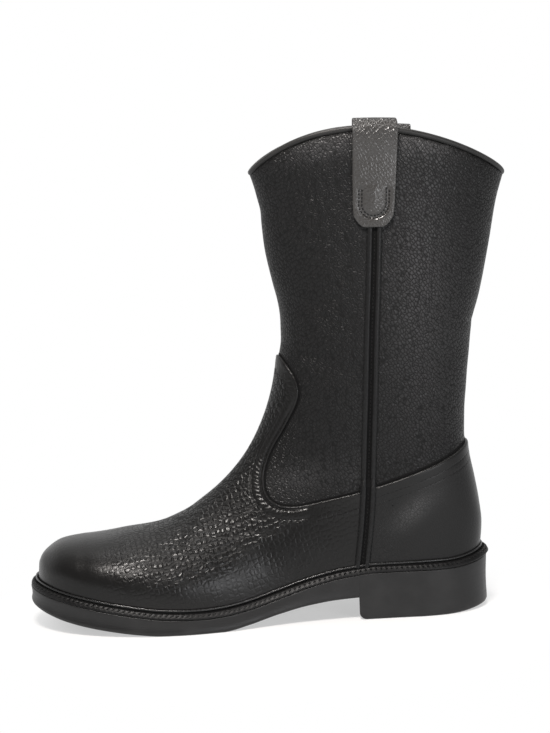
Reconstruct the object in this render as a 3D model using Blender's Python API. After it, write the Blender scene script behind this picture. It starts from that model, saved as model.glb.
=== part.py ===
"""Left roper boot with a pull-on shaft, a storm welt and a moulded unit sole.

Shapes are worked out in millimetres and drawn in metres. The toe points to -X, the outer side of the
foot faces -Y. Heights are counted from a level a little above the floor. The leather body is a row of sections: level cuts down the shaft,
cuts that fan about one turning point round the instep, and upright cuts over the toe.
"""
import math

import bmesh
import bpy
import numpy as np

for old in list(bpy.data.objects):
    bpy.data.objects.remove(old, do_unlink=True)

MM = 0.001

# Overall sizes in millimetres
SOLE_LENGTH = 300.0
TOE_X = -SOLE_LENGTH / 2
HEEL_X = SOLE_LENGTH / 2
GAP = 0.3
SEAT_GAP = 0.45
OVERLAY_LIFT = 0.4
WALL = 2.0
OVERLAY = 1.6
SEAM_HEIGHT = 1.1
SEAM_WIDTH = 10.4
SEAM_GROOVE = 2.6

# Sole outline in plan: half widths at stations from heel seat to ball
OUTLINE_COLUMNS = ("x", "outer", "inner")
OUTLINE = np.array([
    (98.0, 36.6, 35.6),
    (66.0, 36.8, 33.8),
    (30.0, 39.5, 33.5),
    (0.0, 44.5, 38.0),
    (-28.0, 50.8, 45.5),
    (-52.0, 54.0, 50.6),
    (-66.0, 53.4, 51.5),
])
HEEL_WIDEST_X = 98.0
BALL_OUTER_X = -52.0
BALL_INNER_X = -66.0
TOE_TIP_Y = 3.0
TOE_FULLNESS = 2.25
HEEL_FULLNESS = 2.15
FEATHER_TOE = 6.4
FEATHER_WAIST = 7.4

# Sole from the side: heights of its top and of its walking face above the floor
FLOOR_Z = -3.1
SOLE_COLUMNS = ("x", "top", "bottom")
SOLE = np.array([
    (-150.0, 25.7, 15.0),
    (-126.0, 20.1, 7.9),
    (-101.0, 15.4, 3.6),
    (-80.0, 12.0, 1.0),
    (-66.0, 10.2, 0.0),
    (-40.0, 9.2, 0.0),
    (-28.0, 9.8, 0.0),
    (-10.0, 12.6, 3.0),
    (8.0, 17.4, 7.6),
    (30.0, 23.6, 11.6),
    (52.0, 28.0, 13.8),
    (74.0, 29.9, 14.6),
    (100.0, 29.9, 14.6),
    (150.0, 29.9, 14.6),
])
BREAST_X = 65.5
BREAST_RADIUS = 5.0
BREAST_SKEW = 5.0
BREAST_SKEW_REACH = 60.0

# Front and back of the bare leather body from the side, collar first; the back line's rows below the
# heel seat close the form inside the sole, where it is cut away
LINE_COLUMNS = ("x", "z")
FRONT_LINE = np.array([
    (0.6, 282.0),
    (4.2, 270.0),
    (6.6, 256.0),
    (9.0, 234.0),
    (13.0, 215.0),
    (16.4, 200.0),
    (17.4, 187.0),
    (16.4, 170.0),
    (13.8, 150.0),
    (5.5, 123.3),
    (-9.3, 97.4),
    (-36.0, 71.9),
    (-58.3, 59.4),
    (-90.2, 53.2),
    (-114.0, 50.3),
    (-128.0, 48.2),
    (-138.2, 42.6),
    (-142.6, 36.0),
    (-143.6, 22.9),
])
BACK_LINE = np.array([
    (166.8, 282.0),
    (161.8, 265.0),
    (157.0, 238.6),
    (151.6, 212.0),
    (145.5, 188.0),
    (141.4, 160.0),
    (138.7, 135.0),
    (137.5, 114.0),
    (138.6, 98.0),
    (141.4, 84.0),
    (144.5, 66.0),
    (145.9, 52.0),
    (145.0, 40.0),
    (143.15, 27.25),
    (141.5, 16.0),
    (135.0, 3.0),
    (112.0, -8.0),
    (85.0, -11.0),
    (55.0, -14.0),
    (25.0, -20.0),
    (-5.0, -24.0),
    (-50.0, -24.0),
    (-90.0, -21.0),
    (-114.0, -16.0),
    (-130.0, -12.0),
    (-143.6, -8.0),
])
HEEL_CORNER = (143.15, 27.25)
COLLAR_LOW = 282.0
COLLAR_RISE = 26.5
COLLAR_POWER = 1.7
COLLAR_PEAK_SHIFT = 0.14
COLLAR_BACK_DROP = 3.7
COLLAR_STAND = 1.5
TURN_X = -114.0
TURN_Z = 186.0
TIP_X = -143.6

# Body sections: station 0 collar, 1 ankle, 2 toe cap, 3 nose
SECTION_COLUMNS = ("station", "widest", "outer", "inner", "top_fullness", "end_fullness", "ridge")
SECTIONS = np.array([
    (0.00, 0.50, 36.0, 36.0, 2.0, 2.0, 0.0),
    (0.45, 0.50, 36.8, 36.8, 2.0, 2.0, 0.0),
    (1.00, 0.50, 37.0, 37.0, 2.0, 2.0, 0.0),
    (1.12, 0.51, 36.0, 36.0, 2.0, 2.2, 0.0),
    (1.24, 0.53, 34.0, 33.6, 2.0, 2.5, 0.0),
    (1.35, 0.55, 32.0, 31.4, 2.0, 2.6, 0.0),
    (1.45, 0.55, 31.4, 30.0, 1.95, 2.5, 0.5),
    (1.56, 0.53, 33.5, 30.5, 1.95, 2.4, 1.5),
    (1.68, 0.50, 40.0, 36.0, 2.0, 2.3, 2.5),
    (1.82, 0.46, 46.0, 43.0, 2.1, 2.2, 3.5),
    (2.00, 0.36, 44.0, 42.0, 2.3, 2.2, 4.0),
    (3.00, 0.36, 20.0, 20.0, 2.3, 2.2, 3.0),
])
BLEND_FROM = 1.50
BLEND_TO = 1.68

# Side seam, and the top edges of vamp and counter, seen from the side
SEAM_LINE = np.array([
    (78.4, 312.0),
    (75.9, 250.0),
    (74.3, 214.0),
    (72.6, 182.0),
    (70.9, 140.0),
    (69.6, 109.0),
    (68.6, 82.0),
    (66.6, 58.0),
    (64.2, 39.0),
    (61.8, 20.0),
])
INNER_SEAM_LEAN = 22.0
VAMP_EDGE = np.array([
    (-6.0, 178.5),
    (6.0, 174.0),
    (14.0, 168.4),
    (21.2, 159.0),
    (25.6, 150.0),
    (26.2, 141.0),
    (18.6, 123.4),
    (7.8, 104.3),
    (3.4, 92.0),
    (2.8, 82.0),
    (6.3, 74.4),
    (14.4, 70.6),
    (24.0, 70.4),
    (43.8, 74.3),
    (68.2, 79.8),
])
COUNTER_EDGE = np.array([
    (68.8, 80.3),
    (88.7, 86.2),
    (108.6, 92.9),
    (124.1, 99.2),
    (133.0, 103.8),
    (160.0, 121.0),
])

# Welt profile: share of the way from body to sole edge, height above the sole
WELT_COLUMNS = ("share", "height")
WELT_PROFILE = np.array([
    (0.00, 0.3),
    (0.92, 0.3),
    (1.00, 0.6),
    (1.00, 1.3),
    (0.86, 2.3),
    (0.48, 3.8),
    (0.34, 4.2),
    (0.14, 5.7),
    (0.00, 5.2),
])

# Sole rings: inset from the outline, share of the height, extra height in millimetres
RING_COLUMNS = ("inset", "share", "lift")
SOLE_RINGS = np.array([
    (0.9, 1.0, 0.0),
    (0.0, 1.0, -0.9),
    (0.7, 0.45, 0.0),
    (0.0, 0.0, 2.6),
    (1.4, 0.0, 0.0),
])

INSOLE_THICK = 2.6
INSOLE_CLEAR = 1.3
BINDING_OUT = 1.3
BINDING_HIGH = 3.5

# Pull strap: drop below the collar wall and half width
STRAP_COLUMNS = ("drop", "half")
STRAP = np.array([
    (0.0, 14.1),
    (22.0, 13.7),
    (43.0, 13.2),
    (50.5, 12.5),
    (54.5, 10.0),
    (58.0, 6.8),
])
STRAP_TOP = 306.2
STRAP_THICK = 2.0
STRAP_LIE = 0.5
STRAP_CLEAR = 2.3
STRAP_RISE = {-1: 3.9, 1: 6.9}
STRAP_SHIFT = -0.9
STRAP_LEVEL = 0.3

# Steps round the foot for welt and insole, and how much closer they are at heel and toe
WELT_STEPS = 28
INSOLE_STEPS = 22
END_CLOSENESS = 0.6
WELT_CLEAR = 0.25

# Grid of the leather body
COLUMN_SHARES = (0.0, 0.07, 0.15, 0.24, 0.33, 0.42, 0.5, 0.6, 0.7, 0.79, 0.87, 0.94, 1.0)
SHAFT_STATIONS = (0.0, 0.1, 0.25, 0.45, 0.7)
ANKLE_STATIONS = (1.0, 1.07, 1.14, 1.2, 1.26, 1.31)
HEEL_ROUND = 40.0
HEEL_STEPS = 6
FOOT_STEPS = 10
NOSE_STATIONS = (2.2, 2.4, 2.58, 2.74, 2.88, 3.0)


def smooth(xs, ys, x):
    """Cubic through the points (xs, ys) whose slopes are weighted means of the chords beside them."""
    xs = np.asarray(xs, float)
    ys = np.asarray(ys, float)
    chord = np.diff(ys) / np.diff(xs)
    before = (3 * chord[0] - 2 * chord[1], 2 * chord[0] - chord[1])
    after = (2 * chord[-1] - chord[-2], 3 * chord[-1] - 2 * chord[-2])
    d = np.concatenate((before, chord, after))
    ahead = np.abs(d[3:] - d[2:-1]) + np.abs(d[3:] + d[2:-1]) / 2
    behind = np.abs(d[1:-2] - d[:-3]) + np.abs(d[1:-2] + d[:-3]) / 2
    total = ahead + behind
    slope = (ahead * d[1:-2] + behind * d[2:-1]) / np.where(total > 0, total, 1.0)
    x = np.clip(x, xs[0], xs[-1])
    i = np.clip(np.searchsorted(xs, x, side="right") - 1, 0, len(xs) - 2)
    h = xs[i + 1] - xs[i]
    t = (x - xs[i]) / h
    rise = ys[i] * (1 + 2 * t) * (1 - t) ** 2 + ys[i + 1] * t * t * (3 - 2 * t)
    return rise + h * (slope[i] * t * (1 - t) ** 2 - slope[i + 1] * t * t * (1 - t))


def curve(points, steps):
    """Smooth plane curve through the points, with equal steps of chord length."""
    points = np.asarray(points, float)
    length = np.concatenate(((0.0,), np.cumsum(np.hypot(*np.diff(points, axis=0).T))))
    t = np.linspace(0.0, length[-1], steps)
    return np.column_stack([smooth(length, points[:, k], t) for k in range(points.shape[1])])


def half_width(x, side):
    """Sole half width at x: table between heel seat and ball, superellipse ends at heel and toe."""
    column = 1 if side < 0 else 2
    ball = BALL_OUTER_X if side < 0 else BALL_INNER_X
    tip = TOE_TIP_Y * side
    middle = smooth(OUTLINE[::-1, 0], OUTLINE[::-1, column], x)
    widest_ball = smooth(OUTLINE[::-1, 0], OUTLINE[::-1, column], ball)
    t = np.clip((ball - x) / (ball - TOE_X), 0.0, 1.0)
    toe = tip + (widest_ball - tip) * (1 - t ** TOE_FULLNESS) ** (1 / TOE_FULLNESS)
    t = np.clip((x - HEEL_WIDEST_X) / (HEEL_X - HEEL_WIDEST_X), 0.0, 1.0)
    heel = OUTLINE[0, column] * (1 - t ** HEEL_FULLNESS) ** (1 / HEEL_FULLNESS)
    return np.where(x < ball, toe, np.where(x > HEEL_WIDEST_X, heel, middle))


def outline_side(xs, side, inset):
    """One side of the sole outline, heel to toe, moved inward by inset along its own normal."""
    line = np.column_stack((xs, side * half_width(xs, side)))
    run = np.gradient(line, axis=0)
    inward = np.column_stack((run[:, 1], -run[:, 0])) * -side
    inward[0] = (-1.0, 0.0)
    inward[-1] = (1.0, 0.0)
    inward /= np.linalg.norm(inward, axis=1)[:, None]
    return line + inward * np.broadcast_to(inset, len(xs))[:, None]


def sole_top(x):
    """Height of the sole's top at x."""
    return smooth(SOLE[:, 0], SOLE[:, 1], x) + FLOOR_Z


def seat(x):
    """Height at which the leather body rests, a gap above the sole's top."""
    return sole_top(x) + SEAT_GAP


FEATHER_XS = TOE_X + SOLE_LENGTH * (1 + np.cos(np.linspace(0.0, math.pi, 240))) / 2
FEATHER_INSET = np.interp(FEATHER_XS, (TOE_X, 0.0), (FEATHER_TOE, FEATHER_WAIST))
FEATHER = {side: outline_side(FEATHER_XS, side, FEATHER_INSET) for side in (-1, 1)}


def feather_y(x, side):
    """Distance of the body's lower edge from the middle plane at x."""
    line = FEATHER[side][::-1]
    return side * np.interp(x, line[:, 0], line[:, 1])


def station_of(x, z):
    """Station and distance along the section line of a point in the side view."""
    shaft = 1 - (z - TURN_Z) / (COLLAR_LOW - TURN_Z)
    fan = 1 + np.arctan2(TURN_Z - z, x - TURN_X) / (math.pi / 2)
    nose = 2 + np.arcsin(np.clip((TURN_X - x) / (TURN_X - TIP_X), 0.0, 1.0)) / (math.pi / 2)
    station = np.where(z >= TURN_Z, shaft, np.where(x >= TURN_X, fan, nose))
    fan_reach = np.hypot(x - TURN_X, TURN_Z - z)
    reach = np.where(z >= TURN_Z, x - TURN_X, np.where(x >= TURN_X, fan_reach, TURN_Z - z))
    return station, reach


def line_point(v, r):
    """Side-view point at distance r along the section line of station v."""
    angle = np.clip(v - 1, 0.0, 1.0) * math.pi / 2
    x = TURN_X + r * np.cos(angle) - (TURN_X - TIP_X) * np.sin(np.clip(v - 2, 0.0, 1.0) * math.pi / 2)
    z = TURN_Z - r * np.sin(angle) + np.clip(1 - v, 0.0, None) * (COLLAR_LOW - TURN_Z)
    return x, z


def reach_to(v, lift):
    """Distance along each section line to the height lift above the seat, found by halving."""
    low = np.full(np.shape(v), 10.0)
    high = np.full(np.shape(v), 700.0)
    for _ in range(46):
        middle = (low + high) / 2
        x, z = line_point(v, middle)
        above = z > seat(x) + lift
        low = np.where(above, middle, low)
        high = np.where(above, high, middle)
    return low


FRONT_STATION, FRONT_REACH = station_of(FRONT_LINE[:, 0], FRONT_LINE[:, 1])
BACK_STATION, BACK_REACH = station_of(BACK_LINE[:, 0], BACK_LINE[:, 1])
HEEL_STATION = float(station_of(*np.array(HEEL_CORNER))[0])


def section(v):
    """Sizes of the sections at stations v, by name; along the foot the widths follow the sole outline."""
    size = {name: smooth(SECTIONS[:, 0], SECTIONS[:, k], v) for k, name in enumerate(SECTION_COLUMNS)}
    size["front"] = smooth(FRONT_STATION, FRONT_REACH, v)
    size["end"] = smooth(BACK_STATION, BACK_REACH, v)
    size["wide_at"] = size["front"] + size["widest"] * (size["end"] - size["front"])
    low = np.clip(reach_to(v, 0.0), size["front"], size["end"])
    size["seat_angle"] = angle_round(size, low)
    x_low = line_point(v, low)[0]
    t = np.clip((v - BLEND_FROM) / (BLEND_TO - BLEND_FROM), 0.0, 1.0)
    blend = t * t * (3 - 2 * t)
    spread = np.maximum(np.sin(size["seat_angle"]), 0.02)
    for name, side in (("outer", -1), ("inner", 1)):
        foot = size["ridge"] + (side * feather_y(x_low, side) - size["ridge"]) / spread
        size[name] = (1 - blend) * side * size[name] + blend * foot
    return size


def angle_round(size, r):
    """Angle round a section at distance r along its line: 0 the ridge, pi the back line."""
    top = r < size["wide_at"]
    power = np.where(top, size["top_fullness"], size["end_fullness"])
    span = np.where(top, size["front"] - size["wide_at"], size["end"] - size["wide_at"])
    k = np.clip((r - size["wide_at"]) / span, 0.0, 1.0)
    a = np.arcsin(np.clip(1 - k ** power, 0.0, 1.0) ** (1 / power))
    return np.where(top, a, math.pi - a)


def angle_at(v, r):
    """Angle round the section of station v at distance r along its line."""
    return angle_round(section(v), r)


def collar_lift(v, a):
    """Rise of the collar over its level cut: a hump with its peak ahead of the middle, less a fall
    towards the back, both fading down the shaft."""
    hump = COLLAR_RISE * np.clip(np.sin(a + COLLAR_PEAK_SHIFT * np.sin(a)), 0.0, 1.0) ** COLLAR_POWER
    fall = COLLAR_BACK_DROP * (1 - np.cos(a)) / 2
    return (hump - fall + COLLAR_STAND) * np.clip(1 - v, 0.0, 1.0) ** 1.2


def surface(v, a, side):
    """Body point at station v and angle a round one side: 0 the ridge, pi the back line.

    Across a section the distance from the middle goes with sin a and the distance along the line with
    the superellipse partner of sin a, so the section is a superellipse with two fullnesses.
    """
    v, a = np.broadcast_arrays(np.asarray(v, float), np.asarray(a, float))
    size = section(v)
    name = "outer" if side < 0 else "inner"
    s = np.clip(np.sin(a), 0.0, 1.0)
    top = a < math.pi / 2
    power = np.where(top, size["top_fullness"], size["end_fullness"])
    k = np.clip(1 - s ** power, 0.0, 1.0) ** (1 / power)
    span = np.where(top, size["front"] - size["wide_at"], size["end"] - size["wide_at"])
    x, z = line_point(v, size["wide_at"] + span * k)
    y = size["ridge"] + (size[name] - size["ridge"]) * s
    return np.stack((x, y, z + collar_lift(v, a)), axis=-1)


def offset_surface(v, a, side, offset):
    """Body point moved along the outward normal by offset.

    On the ridge and the back line the normal stays in the middle plane, square to the line.
    """
    v, a = np.broadcast_arrays(np.asarray(v, float), np.asarray(a, float))
    point = surface(v, a, side)
    dv = 0.004
    da = 0.012
    at = np.clip(a, 2 * da, math.pi - 2 * da)
    near = np.clip(v, dv, 2.985)
    across = surface(near, at + da, side) - surface(near, at - da, side)
    along = surface(near + dv, at, side) - surface(near - dv, at, side)
    normal = np.cross(along, across) * -side
    run = surface(near + dv, a, side) - surface(near - dv, a, side)
    plane = np.stack((run[..., 2], 0 * run[..., 0], -run[..., 0]), axis=-1)
    back = (a > math.pi - 1e-6)[..., None]
    normal = np.where((a < 1e-6)[..., None], plane, np.where(back, -plane, normal))
    normal = np.where((v > 2.9999)[..., None], np.array((-1.0, 0.0, 0.0)), normal)
    normal = normal / np.linalg.norm(normal, axis=-1)[..., None]
    return point + normal * offset


def locate(x, z):
    """Station and angle of a shaft point given in the side view, settled by repeated correction."""
    v = station_of(x, z)[0]
    a = angle_at(v, x - TURN_X)
    for _ in range(16):
        below = np.maximum(z - collar_lift(v, a), TURN_Z)
        v = 0.3 * v + 0.7 * np.clip(station_of(x, below)[0], 0.0, 1.0)
        a = angle_at(v, x - TURN_X)
    return v, a


def seam_x(z, side):
    """Side seam's x at height z; the inner one leans further back towards the collar."""
    lean = INNER_SEAM_LEAN * np.clip((z - 85.0) / 227.0, 0.0, None) if side > 0 else 0.0
    return smooth(SEAM_LINE[::-1, 1], SEAM_LINE[::-1, 0], z) + lean


def make_object(name, verts, faces):
    """Closed mesh object from points in millimetres."""
    mesh = bpy.data.meshes.new(name)
    mesh.from_pydata([tuple(p) for p in np.asarray(verts) * MM], [], faces)
    bm = bmesh.new()
    bm.from_mesh(mesh)
    bmesh.ops.remove_doubles(bm, verts=bm.verts, dist=0.00001)
    bmesh.ops.dissolve_degenerate(bm, edges=bm.edges, dist=0.00001)
    bmesh.ops.recalc_face_normals(bm, faces=bm.faces)
    bm.to_mesh(mesh)
    bm.free()
    thing = bpy.data.objects.new(name, mesh)
    bpy.context.scene.collection.objects.link(thing)
    return thing


def grid_faces(rows, columns, start=0, wrap_rows=False, wrap_columns=False, mirror=0):
    """Triangles between neighbouring points of a grid stored row by row; the first mirror columns
    are cut along the other diagonal."""
    faces = []
    for i in range(rows if wrap_rows else rows - 1):
        for j in range(columns if wrap_columns else columns - 1):
            down = (i + 1) % rows
            right = (j + 1) % columns
            here = start + i * columns
            below = start + down * columns
            if j < mirror:
                faces.append((here + j, here + right, below + j))
                faces.append((here + right, below + right, below + j))
            else:
                faces.append((here + j, here + right, below + right))
                faces.append((here + j, below + right, below + j))
    return faces


def plate(name, near, far):
    """Closed thin piece between two grids of the same size."""
    rows, columns = near.shape[:2]
    count = rows * columns
    faces = grid_faces(rows, columns) + grid_faces(rows, columns, count)
    edge = [j for j in range(columns)]
    edge += [i * columns + columns - 1 for i in range(1, rows)]
    edge += [(rows - 1) * columns + j for j in range(columns - 2, -1, -1)]
    edge += [i * columns for i in range(rows - 2, 0, -1)]
    for here, there in zip(edge, edge[1:] + edge[:1]):
        faces.append((here, there, there + count, here + count))
    return make_object(name, np.vstack((near.reshape(-1, 3), far.reshape(-1, 3))), faces)


def body_stations():
    """Stations of the body's grid; from the heel corner on they are spaced by where they meet the seat."""
    turn = np.radians(np.linspace(0.0, 90.0, HEEL_STEPS + 1))
    round_heel = HEEL_CORNER[0] - HEEL_ROUND * (1 - np.cos(turn))
    along = np.linspace(round_heel[-1], TURN_X, FOOT_STEPS + 1)
    xs = np.concatenate((round_heel, along[1:]))
    foot = station_of(xs, seat(xs))[0]
    foot[0] = HEEL_STATION
    foot[-1] = 2.0
    return np.concatenate((SHAFT_STATIONS, ANKLE_STATIONS, foot, NOSE_STATIONS))


STATIONS = body_stations()
HEEL_ROW = int(np.argmin(np.abs(STATIONS - HEEL_STATION)))
ANGLES = math.pi * np.array(COLUMN_SHARES)


def skin(offset):
    """Grid of the whole body at one offset: lower edge, outer side, ridge, inner side, lower edge."""
    v, share = np.meshgrid(STATIONS, np.array(COLUMN_SHARES), indexing="ij")
    end = np.where(v <= HEEL_STATION + 1e-9, math.pi, section(v)["seat_angle"])
    middle = np.minimum(math.pi / 2, 0.62 * end)
    a = np.where(share < 0.5, 2 * share * middle, middle + (2 * share - 1) * (end - middle))
    outer = offset_surface(v, a, -1, offset)
    inner = offset_surface(v, a, 1, offset)
    return np.concatenate((outer[:, ::-1], inner[:, 1:]), axis=1)


def shell(name, low, high):
    """Hollow body between two offsets, open at the collar and underneath."""
    near = skin(low)
    far = skin(high)
    rows, columns = near.shape[:2]
    count = rows * columns
    half = columns // 2
    faces = grid_faces(rows, columns, mirror=half) + grid_faces(rows, columns, count, mirror=half)
    for j in range(columns - 1):
        faces.append((j, j + 1, j + 1 + count, j + count))
    for i in range(HEEL_ROW, rows - 1):
        for j in (0, columns - 1):
            here = i * columns + j
            there = here + columns
            faces.append((here, there, there + count, here + count))
    return make_object(name, np.vstack((near.reshape(-1, 3), far.reshape(-1, 3))), faces)


def prism(name, points, y_from, y_to):
    """Straight cutter across the boot from a side-view outline."""
    count = len(points)
    near = [(x, y_from, z) for x, z in points]
    far = [(x, y_to, z) for x, z in points]
    faces = [tuple(range(count)), tuple(range(2 * count - 1, count - 1, -1))]
    for i in range(count):
        j = (i + 1) % count
        faces.append((i, j, j + count, i + count))
    return make_object(name, near + far, faces)


def cut(thing, cutter, operation):
    """Exact Boolean of thing with cutter; the cutter is used up."""
    modifier = thing.modifiers.new("cut", "BOOLEAN")
    modifier.solver = "EXACT"
    modifier.operation = operation
    modifier.object = cutter
    graph = bpy.context.evaluated_depsgraph_get()
    mesh = bpy.data.meshes.new_from_object(thing.evaluated_get(graph))
    thing.modifiers.clear()
    thing.data = mesh
    bpy.data.objects.remove(cutter, do_unlink=True)
    bm = bmesh.new()
    bm.from_mesh(mesh)
    bmesh.ops.remove_doubles(bm, verts=bm.verts, dist=0.00002)
    bmesh.ops.dissolve_degenerate(bm, edges=bm.edges, dist=0.00002)
    bm.to_mesh(mesh)
    bm.free()
    return thing


def ease_steps(line, steps):
    """The line resampled by length, with steps closer together at both round ends."""
    length = np.concatenate(((0.0,), np.cumsum(np.linalg.norm(np.diff(line, axis=0), axis=1))))
    share = np.linspace(0.0, 1.0, steps + 1)
    at = length[-1] * (share - END_CLOSENESS * np.sin(2 * math.pi * share) / (2 * math.pi))
    return np.column_stack([np.interp(at, length, line[:, k]) for k in range(line.shape[1])])


def contour(lift, offset, steps):
    """Outer and inner lines, heel to toe, at a height above the seat on the body moved by offset."""
    ends = []
    for key, low, high in (("end", 1.05, HEEL_STATION + 0.05), ("front", 2.0, 3.0)):
        for _ in range(46):
            middle = np.array([(low + high) / 2])
            if reach_to(middle, lift)[0] < section(middle)[key][0]:
                high = middle[0]
            else:
                low = middle[0]
        ends.append((low + high) / 2)
    t = np.linspace(0.0, 1.0, 500)
    v = ends[0] + (ends[1] - ends[0]) * (t * t * (3 - 2 * t)) ** 1.6
    a = angle_at(v, reach_to(v, lift))
    outer = ease_steps(offset_surface(v, a, -1, offset), steps)
    inner = ease_steps(offset_surface(v, a, 1, offset), steps)
    for k in (0, -1):
        outer[k] = inner[k] = (outer[k] + inner[k]) / 2
    return outer, inner


def loop(outer, inner):
    """One closed ring of points from the two sides: heel, outer side, toe, inner side."""
    return np.vstack((outer, inner[-2:0:-1]))


def stack(name, rings, capped):
    """Closed solid from rings of equal count: capped above and below, or joined last to first."""
    count = len(rings[0])
    faces = grid_faces(len(rings), count, wrap_rows=not capped, wrap_columns=True)
    half = count // 2
    if capped:
        for start in (0, (len(rings) - 1) * count):
            for i in range(half):
                corners = (i, i + 1, (count - i - 1) % count, (count - i) % count)
                faces.append(tuple(start + c for c in corners))
    faces = [tuple(dict.fromkeys(face)) for face in faces]
    return make_object(name, np.vstack(rings), faces)


def sole_bottom(x):
    """Walking face: the arch ahead of the heel breast, a rounded breast corner, then the flat heel."""
    arch = smooth(SOLE[:, 0], SOLE[:, 2], x)
    step = np.clip(BREAST_RADIUS - (x - BREAST_X), 0.0, BREAST_RADIUS)
    corner = BREAST_RADIUS - np.sqrt(BREAST_RADIUS ** 2 - step ** 2)
    return np.where(x <= BREAST_X, arch, corner) + FLOOR_Z


def sole_stations():
    """Stations of the sole from heel to toe, closer at both round ends and at the heel breast."""
    turn = np.radians(np.linspace(0.0, 90.0, 8))
    heel = HEEL_X - (HEEL_X - HEEL_WIDEST_X) * (1 - np.cos(turn))
    breast = BREAST_X + BREAST_RADIUS * np.array((3.0, 1.0, 0.5, 0.2, 0.05, 0.0))
    waist = np.linspace(BREAST_X - 10.0, BALL_INNER_X + 4.0, 11)
    toe = TOE_X + (BALL_INNER_X - TOE_X) * (1 - np.cos(turn[::-1]))
    return np.concatenate((heel, breast, waist, toe))


# Outsole: one moulded rubber unit with the heel block in one piece
xs = sole_stations()
bottom = sole_bottom(xs)
skew = BREAST_SKEW * np.clip(1 - ((xs - BREAST_X) / BREAST_SKEW_REACH) ** 2, 0.0, 1.0) ** 2
rings = []
for inset, share, lift in SOLE_RINGS:
    sides = []
    for side in (-1, 1):
        at = xs + side * skew
        z = bottom + share * (sole_top(at) - bottom) + lift
        sides.append(np.column_stack((outline_side(at, side, inset), z)))
    rings.append(loop(*sides))
outsole = stack("outsole", rings, True)

# Welt: a strip all round with a raised lip against the body
dense = outline_side(FEATHER_XS, -1, 0.15), outline_side(FEATHER_XS, 1, 0.15)
edge = loop(*[ease_steps(line, WELT_STEPS) for line in dense])
low_lift = 0.05
high_lift = WELT_PROFILE[-1, 1] - SEAT_GAP
low = loop(*contour(low_lift, OVERLAY + 2 * GAP + WELT_CLEAR, WELT_STEPS))
high = loop(*contour(high_lift, OVERLAY + 2 * GAP + WELT_CLEAR, WELT_STEPS))
nearer = np.linalg.norm(edge - low[:, :2], axis=1) < np.linalg.norm(edge - high[:, :2], axis=1)
body = np.where(nearer[:, None], low[:, :2], high[:, :2])
rings = []
for share, height in WELT_PROFILE:
    flat = body + (edge - body) * share
    rings.append(np.column_stack((flat, sole_top(flat[:, 0]) + height)))
welt = stack("welt", rings, False)

# Insole: a leather board on the sole, inside the body
floor_line = loop(*contour(low_lift, -WALL - INSOLE_CLEAR, INSOLE_STEPS))[:, :2]
rest = seat(floor_line[:, 0])
rings = [np.column_stack((floor_line, rest + up)) for up in (0.0, INSOLE_THICK)]
insole = stack("insole", rings, True)

# Upper: the hollow leather body, its wall open at the collar and underneath
upper = shell("upper", -WALL, 0.0)

# Vamp: overlay on the forefoot with its tongue up the instep
edge = curve(VAMP_EDGE, 44)
seam_z = np.linspace(79.2, 32.0, 8)
seam = np.column_stack((seam_x(seam_z, -1) - GAP, seam_z))
foot_x = np.linspace(58.0, TOE_X, 24)
under = np.column_stack((foot_x, seat(foot_x) + OVERLAY_LIFT))
outline = np.vstack((edge, seam, under, ((-220.0, under[-1, 1]), (-220.0, VAMP_EDGE[0, 1]))))
vamp = shell("vamp", GAP, GAP + OVERLAY)
cut(vamp, prism("vamp_outline", outline, -90.0, 90.0), "INTERSECT")

# Counter: overlay round the heel
edge = curve(COUNTER_EDGE, 24)
seam_z = np.linspace(32.0, 79.8, 8)
seam = np.column_stack((seam_x(seam_z, -1) + GAP, seam_z))
foot_x = np.linspace(HEEL_X, 60.0, 10)
under = np.column_stack((foot_x, seat(foot_x) + OVERLAY_LIFT))
outline = np.vstack((edge, ((220.0, COUNTER_EDGE[-1, 1]), (220.0, under[0, 1])), under, seam))
counter = shell("counter", GAP, GAP + OVERLAY)
cut(counter, prism("counter_outline", outline, -90.0, 90.0), "INTERSECT")


def strip(z_from, z_to, side, half):
    """Side-view outline of a band of half width about the side seam."""
    z = np.linspace(z_from, z_to, 9)
    x = seam_x(z, side)
    return np.vstack((np.column_stack((x - half, z)), np.column_stack((x + half, z))[::-1]))


def raised_seam(name, base, z_from, z_to, side):
    """Double ridge along the side seam: a raised band with a groove down its middle."""
    span = (-90.0, 0.0) if side < 0 else (0.0, 90.0)
    band = shell(name, base, base + SEAM_HEIGHT)
    cut(band, prism("band_outline", strip(z_from, z_to, side, SEAM_WIDTH / 2), *span), "INTERSECT")
    groove = shell("groove", base + SEAM_HEIGHT * 0.4, base + SEAM_HEIGHT + 2.0)
    outline = strip(z_from - 4.0, z_to + 4.0, side, SEAM_GROOVE / 2)
    cut(groove, prism("groove_outline", outline, *span), "INTERSECT")
    return cut(band, groove, "DIFFERENCE")


# Side seams: on the shaft from the pull straps down, and on the foot between vamp and counter
raised_seam("shaft_seam_outer", GAP, 84.5, 247.4, -1)
raised_seam("shaft_seam_inner", GAP, 84.5, 247.4, 1)
raised_seam("foot_seam_outer", 2 * GAP + OVERLAY, 34.0, 79.0, -1)
raised_seam("foot_seam_inner", 2 * GAP + OVERLAY, 34.0, 79.0, 1)

# Collar binding: a rolled leather strip standing on the wall's top edge
collar = {}
for offset in (0.0, -WALL):
    sides = [offset_surface(np.zeros_like(ANGLES), ANGLES, side, offset) for side in (-1, 1)]
    collar[offset] = loop(*sides)
middle = (collar[0.0] + collar[-WALL]) / 2
out = collar[0.0] - collar[-WALL]
out[:, 2] = 0.0
out /= np.linalg.norm(out, axis=1)[:, None]
rings = []
for turn in np.radians(np.arange(22.5, 360.0, 45.0)):
    wide = (WALL / 2 + BINDING_OUT) * math.cos(turn) / math.cos(math.radians(22.5))
    high = GAP + 0.4 + BINDING_HIGH / 2 * (1 + math.sin(turn) / math.cos(math.radians(22.5)))
    rings.append(middle + out * wide + np.array((0.0, 0.0, high)))
binding = stack("collar_binding", rings, False)


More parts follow.
